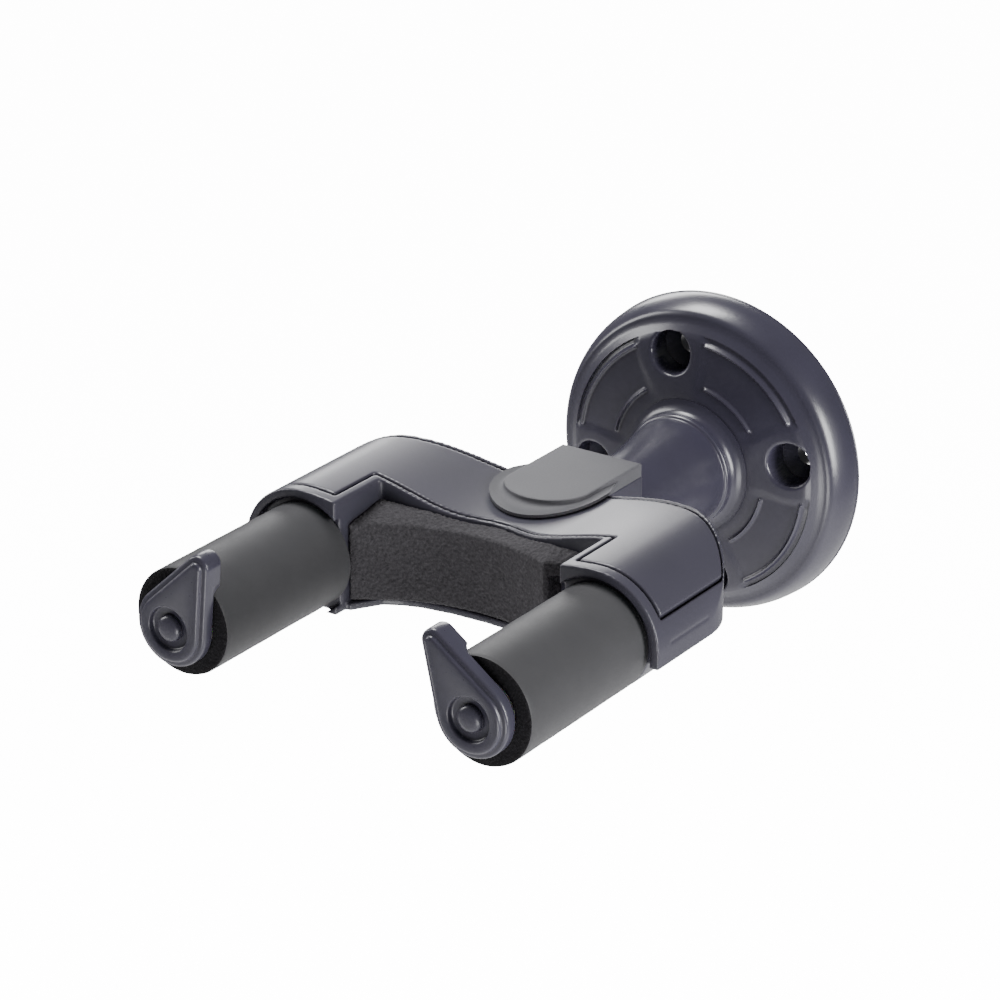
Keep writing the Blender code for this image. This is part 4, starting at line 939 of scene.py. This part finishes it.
def make_gate(name, x, lean):
    base = teardrop(0)
    rows = [(round_the_axis(radius, base), GATE_BACK, True) for radius in (2.8, 6.0)]
    rows += [(teardrop(inset), reach, reach < 156) for inset, reach in (
        (0.5, GATE_BACK), (0.15, GATE_BACK + 0.12), (0.0, GATE_BACK + 0.45))]
    rows += [(teardrop(inset), reach, False) for inset, reach in (
        (0.0, 156.4), (0.0, 157.2), (0.03, 157.75), (0.14, 158.05), (0.42, 158.25), (0.8, 158.3),
        (1.15, 158.32), (1.3, 158.4), (1.38, 158.75), (1.5, 159.0), (1.75, 159.15),
        (2.1, GATE_FRONT), (2.5, GATE_FRONT))]
    rows += [(round_the_axis(radius, base), reach, False) for radius, reach in (
        (5.35, GATE_FRONT), (5.12, 159.12), (5.0, 158.9), (4.95, 158.2), (4.8, 157.95),
        (4.5, 157.85), (2.8, 157.8))]
    rings = []
    for outline, reach, rearward in rows:
        ring = []
        for u, v in outline:
            back = TIP_THICKER * ease((v - TIP_STEP) / 1.2) if rearward else 0
            px = x + u * math.cos(lean) + v * math.sin(lean)
            pz = ARM_Z - u * math.sin(lean) + v * math.cos(lean)
            ring.append((px, -(reach - back), pz))
        rings.append(ring)
    return loft(name, rings, hollow=True)


# Gate ABS: the same grade with a smoother polish, so its rounded edges shine a little.
GATE_ABS, shader, tree, place = start_material("polished_abs_moulding", IOR=1.54)
cloud = add_node(tree, "TexNoise", {"Vector": place, "Scale": grain(8), "Detail": 3.0})
tone = add_node(tree, "Mix", {0: cloud.outputs["Fac"], 6: linear("34333e"), 7: linear("3d3b48")},
                data_type="RGBA")
erosion = add_node(tree, "TexNoise", {"Vector": place, "Scale": grain(0.6), "Detail": 2.0})
gloss = add_node(tree, "MapRange", {0: erosion.outputs["Fac"], 3: 0.25, 4: 0.34})
bump = add_node(tree, "Bump", {"Height": erosion.outputs["Fac"], "Strength": 0.4,
                               "Distance": 0.012 * MM})
finish_with(tree, shader, tone, bump, gloss)

SCREW_PROFILE = ((0, 159.55), (1.6, 159.5), (2.4, 159.3), (2.85, 158.95), (3.0, 158.5),
                 (3.0, 158.1), (1.2, 158.1), (1.2, 150.3), (0, 150.3))
for side, sign in (("left", -1), ("right", 1)):
    dress(make_gate(f"gate_lever_{side}", sign * ARM_X, -sign * LEAN[side]), GATE_ABS,
          f"gate_{side}", [f"gate_{side}"], sharp=45)
    dress(turned(f"domed_screw_{side}", SCREW_PROFILE, sign * ARM_X, ARM_Z, steps=48), GATE_ABS,
          f"gate_{side}", [f"hub_screw_{side}"])


# --------------------------------------------------------------- floor, light, camera
# A plain pale floor far below that shines only at the camera, a weak white surround and
# five soft boxes: above, at each side, low in front, and behind for the top edges.

FLOOR_LEVEL = -0.42
FLOOR_GLOW = 14.0
FLOOR_HALF = 6000
floor = build("studio_floor", [(x * FLOOR_HALF, y * FLOOR_HALF, 0)
                               for x, y in ((-1, -1), (1, -1), (1, 1), (-1, 1))], [(0, 1, 2, 3)])
floor.location.z = FLOOR_LEVEL
PAPER, shader, tree, place = start_material("matt_paper", Roughness=0.95)
cloud = add_node(tree, "TexNoise", {"Vector": place, "Scale": grain(400), "Detail": 2.0})
tone = add_node(tree, "Mix", {0: cloud.outputs["Fac"], 6: linear("fbfbfb"), 7: linear("fefefe")},
                data_type="RGBA")
finish_with(tree, shader, tone)
seen = add_node(tree, "LightPath")
glow = add_node(tree, "Math", {0: seen.outputs["Is Camera Ray"], 1: FLOOR_GLOW},
                operation="MULTIPLY")
shader.inputs["Emission Color"].default_value = linear("ffffff")
tree.links.new(glow.outputs[0], shader.inputs["Emission Strength"])
floor.data.materials.append(PAPER)

world = bpy.data.worlds.new("studio")
world.use_nodes = True
backdrop = world.node_tree.nodes["Background"]
backdrop.inputs["Color"].default_value = linear("ffffff")
backdrop.inputs["Strength"].default_value = 0.16
bpy.context.scene.world = world

LIT_SPOT = Vector((-26.6, -52.1, -1.6)) * MM


def soft_box(name, spot, size, power):
    light = bpy.data.lights.new(name, "AREA")
    light.shape = "RECTANGLE"
    light.size, light.size_y = size
    light.energy = power
    made = bpy.data.objects.new(name, light)
    bpy.context.scene.collection.objects.link(made)
    made.location = spot
    made.rotation_euler = (LIT_SPOT - Vector(spot)).to_track_quat("-Z", "Y").to_euler()


soft_box("top_box", (-0.35, 0.05, 0.7), (0.4, 0.3), 9.0)
soft_box("left_box", (-0.75, -0.35, 0.3), (0.25, 0.5), 4.0)
soft_box("right_box", (0.8, -0.1, 0.12), (0.25, 0.5), 10.0)
soft_box("front_box", (0.35, -0.8, -0.35), (0.5, 0.3), 4.0)
soft_box("back_box", (-0.55, 0.75, 0.25), (0.5, 0.3), 3.5)

camera_data = bpy.data.cameras.new("camera")
camera_data.lens = 135.64
camera_data.sensor_width = 36.0
camera_data.clip_start = 0.05
camera_data.clip_end = 50
camera = bpy.data.objects.new("camera", camera_data)
bpy.context.scene.collection.objects.link(camera)
AIM = Vector((-26.6, -52.12, -1.58)) * MM
azimuth, elevation, distance = math.radians(34.23), math.radians(22.81), 0.87169
back = Vector((math.sin(azimuth) * math.cos(elevation), -math.cos(azimuth) * math.cos(elevation),
               math.sin(elevation)))
right = Vector((math.cos(azimuth), math.sin(azimuth), 0))
up = back.cross(right)
turn = Matrix((right, up, back)).transposed().to_4x4()
camera.matrix_world = Matrix.Translation(AIM + back * distance) @ turn
bpy.context.scene.camera = camera
